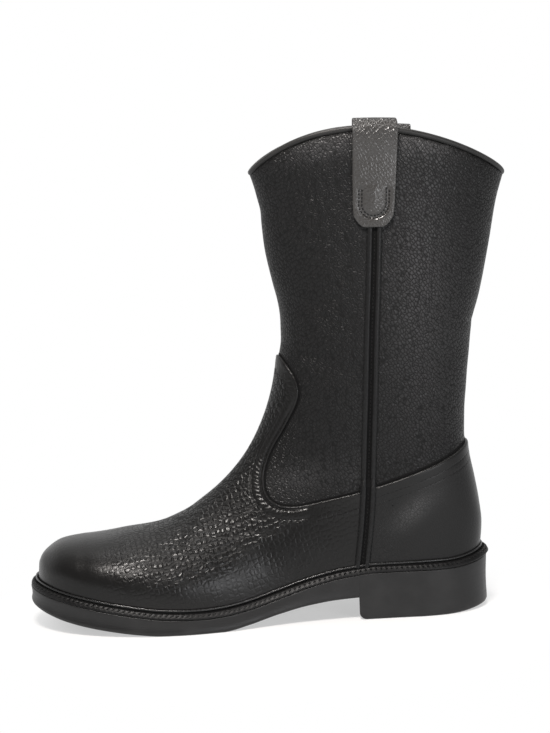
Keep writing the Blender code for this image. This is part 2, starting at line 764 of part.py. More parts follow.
def pull_strap(name, side):
    """Strap folded over the collar: a leg down the outside, a loop over the binding, a leg inside."""
    across = np.linspace(-1.0, 1.0, 5)
    drops = np.array((58.0, 56.3, 54.5, 50.5, 36.0, 16.0, 4.5))[:, None]
    z = STRAP_TOP - drops + 0 * across
    x = seam_x(z, side) + STRAP_SHIFT + across * smooth(STRAP[:, 0], STRAP[:, 1], drops)
    v, a = locate(x, z)
    rise = np.clip(1 - drops / 16.0, 0.0, 1.0)[..., None]
    outside_clear = STRAP_LIE + (STRAP_CLEAR - STRAP_LIE) * rise
    inside_clear = 2 * STRAP_LIE + (STRAP_CLEAR - 2 * STRAP_LIE) * rise
    faces = []
    for extra in (0.0, STRAP_THICK):
        outside = list(offset_surface(v, a, side, outside_clear + extra))
        inside = list(offset_surface(v, a, side, -WALL - inside_clear - extra))
        rim_x = seam_x(STRAP_TOP, side) + STRAP_SHIFT + across * STRAP[0, 1]
        rim = angle_at(np.zeros_like(rim_x), rim_x - TURN_X)
        base = offset_surface(np.zeros_like(rim), rim, side, -WALL / 2)
        out = offset_surface(np.zeros_like(rim), rim, side, 0.0) - base
        base[:, 2] = base[:, 2].mean() + STRAP_LEVEL * (base[:, 2] - base[:, 2].mean())
        out[:, 2] = 0.0
        out /= np.linalg.norm(out, axis=1)[:, None]
        radius = WALL / 2 + STRAP_CLEAR + extra
        arch = []
        for turn in np.radians(np.linspace(0.0, 180.0, 7)):
            lift = np.array((0.0, 0.0, (STRAP_RISE[side] + radius) * math.sin(turn)))
            arch.append(base + out * radius * math.cos(turn) + lift)
        faces.append(np.array(outside + arch + inside[::-1]))
    return plate(name, *faces)


# Pull straps, one over each side of the collar
pull_strap("pull_strap_outer", -1)
pull_strap("pull_strap_inner", 1)

# Materials: name, colour, roughness
GRAIN = ("grain_leather", (0.018, 0.018, 0.019, 1.0), 0.45)
SMOOTH = ("smooth_leather", (0.014, 0.014, 0.015, 1.0), 0.4)
WELT_LEATHER = ("welt_leather", (0.02, 0.02, 0.021, 1.0), 0.42)
RUBBER = ("black_rubber", (0.016, 0.016, 0.017, 1.0), 0.5)
BOARD = ("insole_leather", (0.12, 0.075, 0.045, 1.0), 0.75)
FINISH = {
    "outsole": RUBBER,
    "welt": WELT_LEATHER,
    "insole": BOARD,
    "collar_binding": SMOOTH,
    "pull_strap_outer": SMOOTH,
    "pull_strap_inner": SMOOTH,
}
SHARP_ANGLE = math.radians(38.0)
things = list(bpy.context.scene.collection.objects)
for thing in things:
    label, colour, roughness = FINISH.get(thing.name, GRAIN)
    material = bpy.data.materials.new(thing.name + "_" + label)
    material.use_nodes = True
    shader = material.node_tree.nodes["Principled BSDF"]
    shader.inputs["Base Color"].default_value = colour
    shader.inputs["Roughness"].default_value = roughness
    shader.inputs["Metallic"].default_value = 0.0
    thing.data.materials.clear()
    thing.data.materials.append(material)
    thing.data.shade_smooth()
    thing.data.set_sharp_from_angle(angle=SHARP_ANGLE)

# Origin on the floor under the middle of the boot's box
corners = np.vstack([[tuple(v.co) for v in thing.data.vertices] for thing in things])
centre = (corners.min(axis=0) + corners.max(axis=0)) / 2
for thing in things:
    thing.location = (-centre[0], -centre[1], -FLOOR_Z * MM)
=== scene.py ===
import math

import bmesh
import bpy
import numpy as np
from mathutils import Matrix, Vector


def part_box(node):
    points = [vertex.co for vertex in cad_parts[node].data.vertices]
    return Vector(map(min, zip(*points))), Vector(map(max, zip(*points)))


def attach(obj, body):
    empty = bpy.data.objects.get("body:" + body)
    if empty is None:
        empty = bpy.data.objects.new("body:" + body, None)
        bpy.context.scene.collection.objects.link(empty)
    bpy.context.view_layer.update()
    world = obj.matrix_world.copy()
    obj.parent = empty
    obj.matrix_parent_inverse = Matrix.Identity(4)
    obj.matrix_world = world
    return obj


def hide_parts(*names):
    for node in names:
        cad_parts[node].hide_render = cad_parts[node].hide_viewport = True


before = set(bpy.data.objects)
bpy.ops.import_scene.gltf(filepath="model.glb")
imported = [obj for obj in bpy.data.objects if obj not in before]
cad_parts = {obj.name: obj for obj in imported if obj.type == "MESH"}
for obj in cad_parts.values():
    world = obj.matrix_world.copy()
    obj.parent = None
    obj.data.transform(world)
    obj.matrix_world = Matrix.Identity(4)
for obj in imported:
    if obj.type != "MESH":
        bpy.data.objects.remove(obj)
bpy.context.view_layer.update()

# Insole: a leather board lying on the sole inside the boot, cut from vegetable-tanned hide and
# glued down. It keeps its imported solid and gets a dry, slightly mottled finish.


class Shade:
    """A socket of a material: arithmetic on it adds Math nodes, node() adds any other node."""

    def __init__(self, tree, socket=None):
        self.tree = tree
        self.socket = socket

    def node(self, kind, settings=None, sockets=None, out=0):
        """Adds a node of one kind, sets its settings first and its sockets next, wraps one output."""
        made = self.tree.nodes.new(kind)
        for key, value in (settings or {}).items():
            setattr(made, key, value)
        for key, value in (sockets or {}).items():
            if isinstance(value, Shade):
                self.tree.links.new(value.socket, made.inputs[key])
            else:
                made.inputs[key].default_value = value
        return Shade(self.tree, made.outputs[out])

    def math(self, operation, *values):
        return self.node("ShaderNodeMath", {"operation": operation}, dict(enumerate(values)))

    def __add__(self, other):
        return self.math("ADD", self, other)

    def __mul__(self, other):
        return self.math("MULTIPLY", self, other)

    def __sub__(self, other):
        return self.math("SUBTRACT", self, other)

    def __rsub__(self, other):
        return self.math("SUBTRACT", other, self)

    __radd__ = __add__
    __rmul__ = __mul__

    def ease(self, start, end, low=0.0, high=1.0):
        """Smooth step of this value from low at start to high at end."""
        sockets = {"Value": self, "From Min": start, "From Max": end, "To Min": low, "To Max": high}
        return self.node("ShaderNodeMapRange", {"interpolation_type": "SMOOTHSTEP"}, sockets)

    def blend(self, one, other):
        """Colour one where this value is 0 and the other where it is 1."""
        sockets = {"Factor": self, 6: one, 7: other}
        return self.node("ShaderNodeMix", {"data_type": "RGBA"}, sockets, out=2)


def new_material(name, **fixed):
    """A Principled material with its constant sockets set, and a Shade that adds nodes to it."""
    material = bpy.data.materials.new(name)
    material.use_nodes = True
    principled = material.node_tree.nodes["Principled BSDF"]
    for key, value in fixed.items():
        principled.inputs[key.replace("_", " ")].default_value = value
    return material, Shade(material.node_tree)


def feed(material, **varying):
    """Links what changes over a surface to the material's Principled sockets."""
    tree = material.node_tree
    for key, shade in varying.items():
        tree.links.new(shade.socket, tree.nodes["Principled BSDF"].inputs[key.replace("_", " ")])


def plain_leather(name, light, dark, roughness, depth, specular=0.5):
    """Smooth hide: colour and gloss drift with a slow noise, fine pores dent it."""
    material, add = new_material(name, Specular_IOR_Level=specular)
    place = add.node("ShaderNodeTexCoord", out=3)
    drift = add.node("ShaderNodeTexNoise", None, {"Vector": place, "Scale": 60.0, "Detail": 3.0})
    pores = add.node("ShaderNodeTexNoise", None, {"Vector": place, "Scale": 1400.0, "Detail": 2.0})
    height = add.node("ShaderNodeBump", None, {"Strength": 1.0, "Distance": depth, "Height": pores})
    colour = drift.ease(0.35, 0.65).blend(light, dark)
    feed(material, Base_Color=colour, Roughness=roughness - 0.06 + drift * 0.12, Normal=height)
    return material


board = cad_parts["insole"]
board.data.materials.clear()
board.data.materials.append(plain_leather(
    "insole_board", (0.105, 0.066, 0.04, 1.0), (0.075, 0.046, 0.028, 1.0), 0.72, 0.00005))

# Upper: the leather body, drawn over a last and stitched from a front and a back panel; the wall is
# 2 mm thick, black and grained outside, with a plain brown lining inside.
# Sizes are in millimetres in the boot's own frame: x runs from toe to heel, y inwards, z upwards from
# 3.1 mm over the floor. ORIGIN moves them into the row frame.
ORIGIN = np.array((
    (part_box("outsole")[0][0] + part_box("outsole")[1][0]) * 500.0,
    (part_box("collar_binding")[0][1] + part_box("collar_binding")[1][1]) * 500.0,
    3.1,
))
TOE_X, HEEL_X = -150.0, 150.0
BALL_X = {-1: -52.0, 1: -66.0}
HEEL_ROUND_X, TOE_TIP_Y, TOE_FULLNESS, HEEL_FULLNESS = 98.0, 3.0, 2.25, 2.15
SEAT_GAP = 0.45
WALL = 2.0
OUTLINE = np.array((
    (98.0, 36.6, 35.6), (66.0, 36.8, 33.8), (30.0, 39.5, 33.5), (0.0, 44.5, 38.0),
    (-28.0, 50.8, 45.5), (-52.0, 54.0, 50.6), (-66.0, 53.4, 51.5),
))
SOLE = np.array((
    (-150.0, 25.7, 15.0), (-126.0, 20.1, 7.9), (-101.0, 15.4, 3.6), (-80.0, 12.0, 1.0),
    (-66.0, 10.2, 0.0), (-40.0, 9.2, 0.0), (-28.0, 9.8, 0.0), (-10.0, 12.6, 3.0),
    (8.0, 17.4, 7.6), (30.0, 23.6, 11.6), (52.0, 28.0, 13.8), (74.0, 29.9, 14.6),
    (100.0, 29.9, 14.6), (150.0, 29.9, 14.6),
))
FRONT_LINE = np.array((
    (0.6, 282.0), (4.2, 270.0), (6.6, 256.0), (9.0, 234.0), (13.0, 215.0), (16.4, 200.0),
    (17.4, 187.0), (16.4, 170.0), (13.8, 150.0), (5.5, 123.3), (-9.3, 97.4), (-36.0, 71.9),
    (-58.3, 59.4), (-90.2, 53.2), (-114.0, 50.3), (-128.0, 48.2), (-138.2, 42.6),
    (-142.6, 36.0), (-143.6, 22.9),
))
BACK_LINE = np.array((
    (166.8, 282.0), (161.8, 265.0), (157.0, 238.6), (151.6, 212.0), (145.5, 188.0), (141.4, 160.0),
    (138.7, 135.0), (137.5, 114.0), (138.6, 98.0), (141.4, 84.0), (144.5, 66.0), (145.9, 52.0),
    (145.0, 40.0), (143.15, 27.25), (141.5, 16.0), (135.0, 3.0), (112.0, -8.0), (85.0, -11.0),
    (55.0, -14.0), (25.0, -20.0), (-5.0, -24.0), (-50.0, -24.0), (-90.0, -21.0), (-114.0, -16.0),
    (-130.0, -12.0), (-143.6, -8.0),
))
HEEL_CORNER = np.array((143.15, 27.25))
COLLAR_LOW, COLLAR_RISE, COLLAR_POWER, COLLAR_SHIFT, COLLAR_BACK_DROP = 282.0, 26.5, 1.7, 0.14, 3.7
COLLAR_SWELL, COLLAR_SWELL_AT = 2.0, 11.0
TURN_X, TURN_Z, TIP_X = -114.0, 186.0, -143.6
SECTION_COLUMNS = ("station", "widest", "outer", "inner", "top_fullness", "end_fullness", "ridge")
SECTIONS = np.array((
    (0.00, 0.50, 36.0, 36.0, 2.0, 2.0, 0.0), (0.45, 0.50, 36.8, 36.8, 2.0, 2.0, 0.0),
    (1.00, 0.50, 37.0, 37.0, 2.0, 2.0, 0.0), (1.12, 0.51, 36.0, 36.0, 2.0, 2.2, 0.0),
    (1.24, 0.53, 34.0, 33.6, 2.0, 2.5, 0.0), (1.35, 0.55, 32.0, 31.4, 2.0, 2.6, 0.0),
    (1.45, 0.55, 31.4, 30.0, 1.95, 2.5, 0.5), (1.56, 0.53, 33.5, 30.5, 1.95, 2.4, 1.5),
    (1.68, 0.50, 40.0, 36.0, 2.0, 2.3, 2.5), (1.82, 0.46, 46.0, 43.0, 2.1, 2.2, 3.5),
    (2.00, 0.36, 44.0, 42.0, 2.3, 2.2, 4.0), (3.00, 0.36, 20.0, 20.0, 2.3, 2.2, 3.0),
))
# Soft dents and folds of the hide, and spots of painted highlight and sheen where the hide's colour is
# painted paler: where (x, z), reach along and across, turn, depth
DENTS = np.array((
    (24.0, 172.0, 34.0, 7.0, -24.0, 0.9),
    (30.0, 196.0, 30.0, 9.0, 20.0, 0.6),
    (128.0, 168.0, 26.0, 8.0, 32.0, 0.8),
    (132.0, 194.0, 24.0, 8.0, -18.0, 0.6),
    (10.0, 262.0, 16.0, 6.0, 8.0, 0.7),
    (-52.0, 52.0, 22.0, 3.6, 58.0, 0.7),
    (-44.0, 58.0, 22.0, 4.0, 56.0, -0.4),
))
# Painted highlight and sheen: spots where the hide's colour is painted paler, as if lit.
PAINTED_SHEEN_SPOTS = np.array((
    (98.0, 66.0, 15.0, 6.5, 40.0, 0.55),
    (24.0, 88.0, 22.0, 9.0, 8.0, 0.4),
    (62.0, 88.0, 7.0, 12.0, 0.0, 0.25),
    (46.0, 299.0, 22.0, 7.0, 10.0, 0.6),
    (104.0, 303.0, 24.0, 8.0, -14.0, 0.9),
    (106.0, 215.0, 24.0, 90.0, 0.0, 0.5),
))


def smooth(xs, ys, x):
    """Cubic through the points (xs, ys) whose slopes are weighted means of the chords beside them."""
    chord = np.diff(ys) / np.diff(xs)
    before = (3 * chord[0] - 2 * chord[1], 2 * chord[0] - chord[1])
    after = (2 * chord[-1] - chord[-2], 3 * chord[-1] - 2 * chord[-2])
    d = np.concatenate((before, chord, after))
    ahead = np.abs(d[3:] - d[2:-1]) + np.abs(d[3:] + d[2:-1]) / 2
    behind = np.abs(d[1:-2] - d[:-3]) + np.abs(d[1:-2] + d[:-3]) / 2
    total = ahead + behind
    slope = (ahead * d[1:-2] + behind * d[2:-1]) / np.where(total > 0, total, 1.0)
    x = np.clip(x, xs[0], xs[-1])
    i = np.clip(np.searchsorted(xs, x, side="right") - 1, 0, len(xs) - 2)
    h = xs[i + 1] - xs[i]
    t = (x - xs[i]) / h
    rise = ys[i] * (1 + 2 * t) * (1 - t) ** 2 + ys[i + 1] * t * t * (3 - 2 * t)
    return rise + h * (slope[i] * t * (1 - t) ** 2 - slope[i + 1] * t * t * (1 - t))


def ramp(x, start, end):
    """Straight rise of x from 0 at start to 1 at end, level outside them."""
    return np.clip((x - start) / (end - start), 0.0, 1.0)


def eased(x, start, end):
    """Smooth rise of x from 0 at start to 1 at end: three squares less two cubes of the ramp."""
    t = ramp(x, start, end)
    return t * t * (3 - 2 * t)


def run_length(line):
    """Length along a line at each of its points, from 0 at the first."""
    return np.concatenate(((0.0,), np.cumsum(np.linalg.norm(np.diff(line, axis=0), axis=1))))


def unit(vectors):
    """Vectors made one long."""
    return vectors / np.linalg.norm(vectors, axis=-1)[..., None]


def along_curve(points, steps):
    """Smooth curve through the points, with equal steps of chord length."""
    length = run_length(points)
    t = np.linspace(0.0, length[-1], steps)
    return np.column_stack([smooth(length, points[:, k], t) for k in range(points.shape[1])])


def half_width(x, side):
    """Sole half width at x: a table between heel seat and ball, superellipses round heel and toe."""
    column = 1 if side < 0 else 2
    ball = BALL_X[side]
    tip = TOE_TIP_Y * side
    middle = smooth(OUTLINE[::-1, 0], OUTLINE[::-1, column], x)
    widest = smooth(OUTLINE[::-1, 0], OUTLINE[::-1, column], ball)
    t = ramp(x, ball, TOE_X)
    toe = tip + (widest - tip) * (1 - t ** TOE_FULLNESS) ** (1 / TOE_FULLNESS)
    t = ramp(x, HEEL_ROUND_X, HEEL_X)
    heel = OUTLINE[0, column] * (1 - t ** HEEL_FULLNESS) ** (1 / HEEL_FULLNESS)
    return np.where(x < ball, toe, np.where(x > HEEL_ROUND_X, heel, middle))


def outline_side(xs, side, inset):
    """One side of the sole outline, heel to toe, moved inward by inset along its own normal."""
    line = np.column_stack((xs, side * half_width(xs, side)))
    run = np.gradient(line, axis=0)
    inward = np.column_stack((run[:, 1], -run[:, 0])) * -side
    inward[0] = (-1.0, 0.0)
    inward[-1] = (1.0, 0.0)
    return line + unit(inward) * np.broadcast_to(inset, len(xs))[:, None]


def sole_top(x):
    return smooth(SOLE[:, 0], SOLE[:, 1], x) - ORIGIN[2]


# The feather line, where the hide turns in under the foot: it lies inside the sole's outline
FEATHER_XS = HEEL_X * np.cos(np.linspace(0.0, math.pi, 240))
FEATHER_INSET = np.interp(FEATHER_XS, (TOE_X, 0.0), (6.4, 7.4))
FEATHER = {side: outline_side(FEATHER_XS, side, FEATHER_INSET)[::-1] for side in (-1, 1)}


def station_of(x, z):
    """Station and distance along the section line of a side-view point: level lines down the shaft,
    lines that fan about the turning point round the instep, upright lines over the toe."""
    shaft = 1 - (z - TURN_Z) / (COLLAR_LOW - TURN_Z)
    fan = 1 + np.arctan2(TURN_Z - z, x - TURN_X) / (math.pi / 2)
    nose = 2 + np.arcsin(np.clip((TURN_X - x) / (TURN_X - TIP_X), 0.0, 1.0)) / (math.pi / 2)
    station = np.where(z >= TURN_Z, shaft, np.where(x >= TURN_X, fan, nose))
    fan_reach = np.hypot(x - TURN_X, TURN_Z - z)
    reach = np.where(z >= TURN_Z, x - TURN_X, np.where(x >= TURN_X, fan_reach, TURN_Z - z))
    return station, reach


def line_point(v, r):
    """Side-view point at distance r along the section line of station v."""
    angle = np.clip(v - 1, 0.0, 1.0) * math.pi / 2
    nose = (TURN_X - TIP_X) * np.sin(np.clip(v - 2, 0.0, 1.0) * math.pi / 2)
    z = TURN_Z - r * np.sin(angle) + np.clip(1 - v, 0.0, None) * (COLLAR_LOW - TURN_Z)
    return TURN_X + r * np.cos(angle) - nose, z


def reach_to(v, lift):
    """Distance along each section line to the height lift above the sole, found by halving."""
    low = np.full(np.shape(v), 10.0)
    high = np.full(np.shape(v), 700.0)
    for _ in range(40):
        middle = (low + high) / 2
        x, z = line_point(v, middle)
        above = z > sole_top(x) + lift
        low = np.where(above, middle, low)
        high = np.where(above, high, middle)
    return low


FRONT_STATION, FRONT_REACH = station_of(FRONT_LINE[:, 0], FRONT_LINE[:, 1])
BACK_STATION, BACK_REACH = station_of(BACK_LINE[:, 0], BACK_LINE[:, 1])
HEEL_STATION = float(station_of(*HEEL_CORNER)[0])


def measured_section(v):
    """Sizes of the sections at stations v, by name; along the foot the widths follow the sole."""
    size = {name: smooth(SECTIONS[:, 0], SECTIONS[:, k], v) for k, name in enumerate(SECTION_COLUMNS)}
    size["front"] = smooth(FRONT_STATION, FRONT_REACH, v)
    size["end"] = smooth(BACK_STATION, BACK_REACH, v)
    size["wide_at"] = size["front"] + size["widest"] * (size["end"] - size["front"])
    low = np.clip(reach_to(v, SEAT_GAP), size["front"], size["end"])
    size["seat_angle"] = angle_round(size, low)
    x_low = line_point(v, low)[0]
    share = eased(v, 1.5, 1.68)
    spread = np.maximum(np.sin(size["seat_angle"]), 0.02)
    for name, side in (("outer", -1), ("inner", 1)):
        edge = np.interp(x_low, FEATHER[side][:, 0], FEATHER[side][:, 1])
        foot = size["ridge"] + (edge - size["ridge"]) / spread
        size[name] = (1 - share) * side * size[name] + share * foot
    return size


def section(v):
    """Sizes of the sections at stations v, read off the ruler of closely spaced sections."""
    return {name: np.interp(v, RULER, values) for name, values in RULED.items()}


def angle_round(size, r):
    """Angle round a section at distance r along its line: 0 the ridge, pi the back line."""
    top = r < size["wide_at"]
    power = np.where(top, size["top_fullness"], size["end_fullness"])
    span = np.where(top, size["front"] - size["wide_at"], size["end"] - size["wide_at"])
    k = np.clip((r - size["wide_at"]) / span, 0.0, 1.0)
    a = np.arcsin(np.clip(1 - k ** power, 0.0, 1.0) ** (1 / power))
    return np.where(top, a, math.pi - a)


RULER = np.linspace(0.0, 3.0, 6001)
RULED = measured_section(RULER)


def collar_lift(v, a):
    """Rise of the collar over its level cut: a hump with its peak ahead of the middle, less a fall
    towards the back, both fading down the shaft."""
    hump = COLLAR_RISE * np.clip(np.sin(a + COLLAR_SHIFT * np.sin(a)), 0.0, 1.0) ** COLLAR_POWER
    fall = COLLAR_BACK_DROP * (1 - np.cos(a)) / 2
    return (hump - fall + 1.5) * np.clip(1 - v, 0.0, 1.0) ** 1.2


def last_surface(v, a, side):
    """Body point at station v and angle a round one side, on a superellipse with two fullnesses:
    the distance across goes with sin a, the distance along the line with its superellipse partner."""
    size = section(v)
    s = np.clip(np.sin(a), 0.0, 1.0)
    top = a < math.pi / 2
    power = np.where(top, size["top_fullness"], size["end_fullness"])
    k = np.clip(1 - s ** power, 0.0, 1.0) ** (1 / power)
    span = np.where(top, size["front"] - size["wide_at"], size["end"] - size["wide_at"])
    x, z = line_point(v, size["wide_at"] + span * k)
    y = size["ridge"] + (size["outer" if side < 0 else "inner"] - size["ridge"]) * s
    return np.stack((x, y, z + collar_lift(v, a)), axis=-1)


def bells(points, table):
    """Sum of turned bell shapes at body points, a row each: x, z, reach along and across, turn, height."""
    x = points[..., 0, None] - table[:, 0]
    z = points[..., 2, None] - table[:, 1]
    turn = np.radians(table[:, 4])
    along = (x * np.cos(turn) + z * np.sin(turn)) / table[:, 2]
    across = (z * np.cos(turn) - x * np.sin(turn)) / table[:, 3]
    return np.sum(table[:, 5] * np.exp(-along ** 2 - across ** 2), axis=-1)


def skin_point(v, a, side):
    """Dented body point and its outward normal, square to the two directions of the surface; on the
    ridge and the back line the normal stays in the middle plane. On both flanks the hide swells out
    a little under the collar and leans in above that."""
    v, a = np.asarray(v, float), np.asarray(a, float)
    dv, da = 0.004, 0.012
    at = np.clip(a, 2 * da, math.pi - 2 * da)
    near = np.clip(v, dv, 2.985)
    across = last_surface(near, at + da, side) - last_surface(near, at - da, side)
    along = last_surface(near + dv, at, side) - last_surface(near - dv, at, side)
    normal = np.cross(along, across) * -side
    run = last_surface(near + dv, a, side) - last_surface(near - dv, a, side)
    plane = np.stack((run[..., 2], 0 * run[..., 0], -run[..., 0]), axis=-1)
    whole = np.broadcast_to(a, normal.shape[:-1])
    normal = np.where((whole < 1e-6)[..., None], plane, normal)
    normal = np.where((whole > math.pi - 1e-6)[..., None], -plane, normal)
    tip = np.broadcast_to(v > 2.9999, normal.shape[:-1])[..., None]
    normal = np.where(tip, np.array((-1.0, 0.0, 0.0)), normal)
    normal = unit(normal)
    point = last_surface(v, a, side)
    below = np.clip(v, 0.0, 1.0) * (COLLAR_LOW - TURN_Z) / COLLAR_SWELL_AT
    swell = COLLAR_SWELL * below * np.exp(1 - below) * normal[..., 1] ** 2
    return point + normal * (swell - bells(point, DENTS))[..., None], normal


def body_place(points, side):
    """Station and angle of the body under points: the station from the side view less the collar's
    rise, the angle from how far a point lies across and along its section."""
    x, y, z = np.moveaxis(points, -1, 0)
    lift = 0.0
    for _ in range(12):
        v, r = station_of(x, z - lift)
        size = section(v)
        width = size["outer" if side < 0 else "inner"] - size["ridge"]
        across = np.clip((y - size["ridge"]) / width, 0.0, 1.0)
        ahead = r < size["wide_at"]
        by_width = np.where(ahead, np.arcsin(across), math.pi - np.arcsin(across))
        a = by_width + (angle_round(size, r) - by_width) * eased(across, 0.55, 0.85)
        lift = collar_lift(v, a)
    return v, a


def body_grid(stations, shares):
    """Points and normals of the whole body on a grid, with the columns from the lower edge of the
    outer side over the ridge to the lower edge of the inner side."""
    v, share = np.meshgrid(stations, shares, indexing="ij")
    v = v[:, :1]
    seat = np.where(v <= HEEL_STATION + 1e-9, math.pi, section(v)["seat_angle"])
    end = math.pi + (seat - math.pi) * eased(v, HEEL_STATION, HEEL_STATION + 0.35)
    middle = np.minimum(math.pi / 2, 0.62 * end)
    a = np.where(share < 0.5, 2 * share * middle, middle + (2 * share - 1) * (end - middle))
    a = np.minimum(a, seat)
    outer, inner = skin_point(v, a, -1), skin_point(v, a, 1)
    return [np.concatenate((one[:, ::-1], other[:, 1:]), axis=1) for one, other in zip(outer, inner)]


def patch(points, wrap=(False, False), keep=None, out=None, slot=0, **data):
    """Grid of points in millimetres with its faces: quads between neighbours, kept where keep says,
    turned over where they face against out; data are values per point."""
    rows, columns = points.shape[:2]
    i = np.arange(rows if wrap[0] else rows - 1)[:, None]
    j = np.arange(columns if wrap[1] else columns - 1)[None, :]
    down, right = (i + 1) % rows, (j + 1) % columns
    corners = (i * columns + j, i * columns + right, down * columns + right, down * columns + j)
    faces = np.stack(np.broadcast_arrays(*corners), axis=-1)
    if keep is not None:
        faces = faces[keep]
    faces = faces.reshape(-1, 4)
    flat = points.reshape(-1, 3)
    if out is not None:
        corner = flat[faces]
        square = np.cross(corner[:, 2] - corner[:, 0], corner[:, 3] - corner[:, 1])
        if np.sum(square * np.broadcast_to(out, points.shape).reshape(-1, 3)[faces[:, 0]]) < 0:
            faces = faces[:, ::-1]
    return {"points": flat, "faces": faces, "slot": slot, "data": data}


def add_piece(name, patches, materials, nodes=(), closed=False):
    """One mesh object from patches, in metres in the row frame: doubles are merged, points that no
    face uses are dropped, and the piece rides on the boot."""
    start = np.cumsum([0] + [len(p["points"]) for p in patches])
    points = (np.vstack([p["points"] for p in patches]) + ORIGIN) * 0.001
    faces = np.vstack([p["faces"] + s for p, s in zip(patches, start)])
    slots = np.concatenate([np.full(len(p["faces"]), p["slot"]) for p in patches])
    used = np.unique(faces)
    faces = np.searchsorted(used, faces)
    mesh = bpy.data.meshes.new(name)
    mesh.vertices.add(len(used))
    mesh.vertices.foreach_set("co", points[used].ravel())
    mesh.loops.add(faces.size)
    mesh.loops.foreach_set("vertex_index", faces.ravel().astype(np.int32))
    mesh.polygons.add(len(faces))
    mesh.polygons.foreach_set("loop_start", np.arange(0, faces.size, 4, dtype=np.int32))
    mesh.polygons.foreach_set("material_index", slots.astype(np.int32))
    for key in patches[0]["data"]:
        values = np.concatenate([
            np.broadcast_to(np.asarray(p["data"][key], float).ravel(), len(p["points"]))
            for p in patches])
        layer = mesh.attributes.new(key, "FLOAT", "POINT")
        layer.data.foreach_set("value", values[used].astype(np.float32))
    mesh.update(calc_edges=True)
    bm = bmesh.new()
    bm.from_mesh(mesh)
    bmesh.ops.remove_doubles(bm, verts=bm.verts, dist=0.000004)
    bmesh.ops.dissolve_degenerate(bm, edges=bm.edges, dist=0.000002)
    if closed:
        bmesh.ops.recalc_face_normals(bm, faces=bm.faces)
    bm.to_mesh(mesh)
    bm.free()
    mesh.shade_smooth()
    for material in materials:
        mesh.materials.append(material)
    thing = bpy.data.objects.new(name, mesh)
    bpy.context.scene.collection.objects.link(thing)
    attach(thing, "root")
    if nodes:
        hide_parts(*nodes)
    return thing


def grain_leather(name, colour, pebble, depth, roughness, turn=-55.0, stretch=0.72, contrast=1.0,
                  loose=0.85, specular=0.22):
    """Tumbled hide: each pebble is a dome over a Voronoi cell, lying in slanting rows with creases
    between that are painted dark as shade, swayed by a noise, with smaller cells on top; loose says how
    far the cells stray from even rows, contrast how dark the creases are painted. On the mesh the value
    grain says how strongly the pebbles stand, and a second value where the hide is painted paler as a
    highlight and sheen."""
    material, add = new_material(name, Specular_IOR_Level=specular)
    place = add.node("ShaderNodeTexCoord", out=3)
    grain = add.node("ShaderNodeAttribute", {"attribute_name": "grain"}, out=2)
    wear = add.node("ShaderNodeAttribute", {"attribute_name": "wear"}, out=2)
    turned = add.node("ShaderNodeMapping", None, {
        "Vector": place, "Rotation": (0.0, math.radians(turn), 0.0)})
    drawn = add.node("ShaderNodeMapping", None, {"Vector": turned, "Scale": (stretch, 1.0, 1.0)})
    warp = add.node("ShaderNodeTexNoise", None, {"Vector": place, "Scale": 90.0, "Detail": 2.0}, out=1)
    vector = add.node("ShaderNodeVectorMath", {"operation": "MULTIPLY_ADD"},
                      {0: warp, 1: (0.0025, 0.0025, 0.0025), 2: drawn})
    cell = add.node("ShaderNodeTexVoronoi", {"feature": "DISTANCE_TO_EDGE"}, {
        "Vector": vector, "Scale": 1.0 / pebble, "Randomness": loose})
    small = add.node("ShaderNodeTexVoronoi", None, {"Vector": vector, "Scale": 2.6 / pebble})
    sway = add.node("ShaderNodeTexNoise", None, {"Vector": place, "Scale": 55.0, "Detail": 3.0})
    pores = add.node("ShaderNodeTexNoise", None, {"Vector": place, "Scale": 1500.0, "Detail": 2.0})
    dome = cell.ease(0.0, 0.3)
    height = (dome - small * small * 0.15) * grain + sway * 0.4 + pores * 0.08
    bump = add.node("ShaderNodeBump", None, {"Strength": 1.0, "Distance": depth, "Height": height})
    # Painted shade: the creases are painted near-black, down to an eighth of the colour, as if shade fell
    # in them.
    dark = tuple(0.12 * c for c in colour[:3]) + (1.0,)
    # Painted highlight and sheen: where the second mesh value is high, the colour is painted up to six
    # times lighter.
    sheen_colour = tuple(6.0 * c for c in colour[:3]) + (1.0,)
    crease = (1 - cell.ease(0.0, 0.16)) * grain
    shade = (crease * contrast).blend(wear.blend(colour, sheen_colour), dark)
    gloss = roughness + crease * 0.3 + (sway - 0.5) * 0.2
    feed(material, Base_Color=shade, Roughness=gloss, Normal=bump)
    return material


foot_v = np.concatenate((np.linspace(HEEL_STATION, 1.5, 32)[:-1], np.linspace(1.5, 2.0, 74)))
nose_v = 2 + np.arcsin(np.linspace(0.0, 1.0, 20) ** 0.7) / (math.pi / 2)
STATIONS = np.concatenate((
    np.linspace(0.0, 1.0, 56)[:-1], np.linspace(1.0, HEEL_STATION, 44)[:-1], foot_v, nose_v[1:]))
SHARES = np.linspace(0.0, 1.0, 61)
body, body_out = body_grid(STATIONS, SHARES)
wall = np.concatenate((body, (body - body_out * WALL)[:, ::-1]), axis=1)
width = body.shape[1]
keep = np.ones((len(STATIONS) - 1, 2 * width), bool)
keep[STATIONS[1:] <= HEEL_STATION + 1e-9, width - 1] = False
keep[STATIONS[1:] <= HEEL_STATION + 1e-9, -1] = False
rim = np.stack((body[0], body[0] - body_out[0] * WALL))
shaft_grain = np.full(wall.shape[:2], 0.9)
inside = np.arange(2 * width) >= width
wall_patch = patch(wall, (False, True), keep, grain=shaft_grain, wear=bells(wall, PAINTED_SHEEN_SPOTS))
wall_patch["slot"] = np.broadcast_to(inside, keep.shape)[keep].astype(int)
shaft_leather = grain_leather(
    "shaft_leather", (0.009, 0.0089, 0.0091, 1.0), 0.0019, 0.00023, 0.36, loose=0.7)
lining = plain_leather("lining", (0.06, 0.038, 0.024, 1.0), (0.045, 0.028, 0.018, 1.0), 0.7, 0.00006)
add_piece("upper_body", [wall_patch, patch(rim, grain=0.5, wear=0.0)], [shaft_leather, lining],
          ["upper"], closed=True)

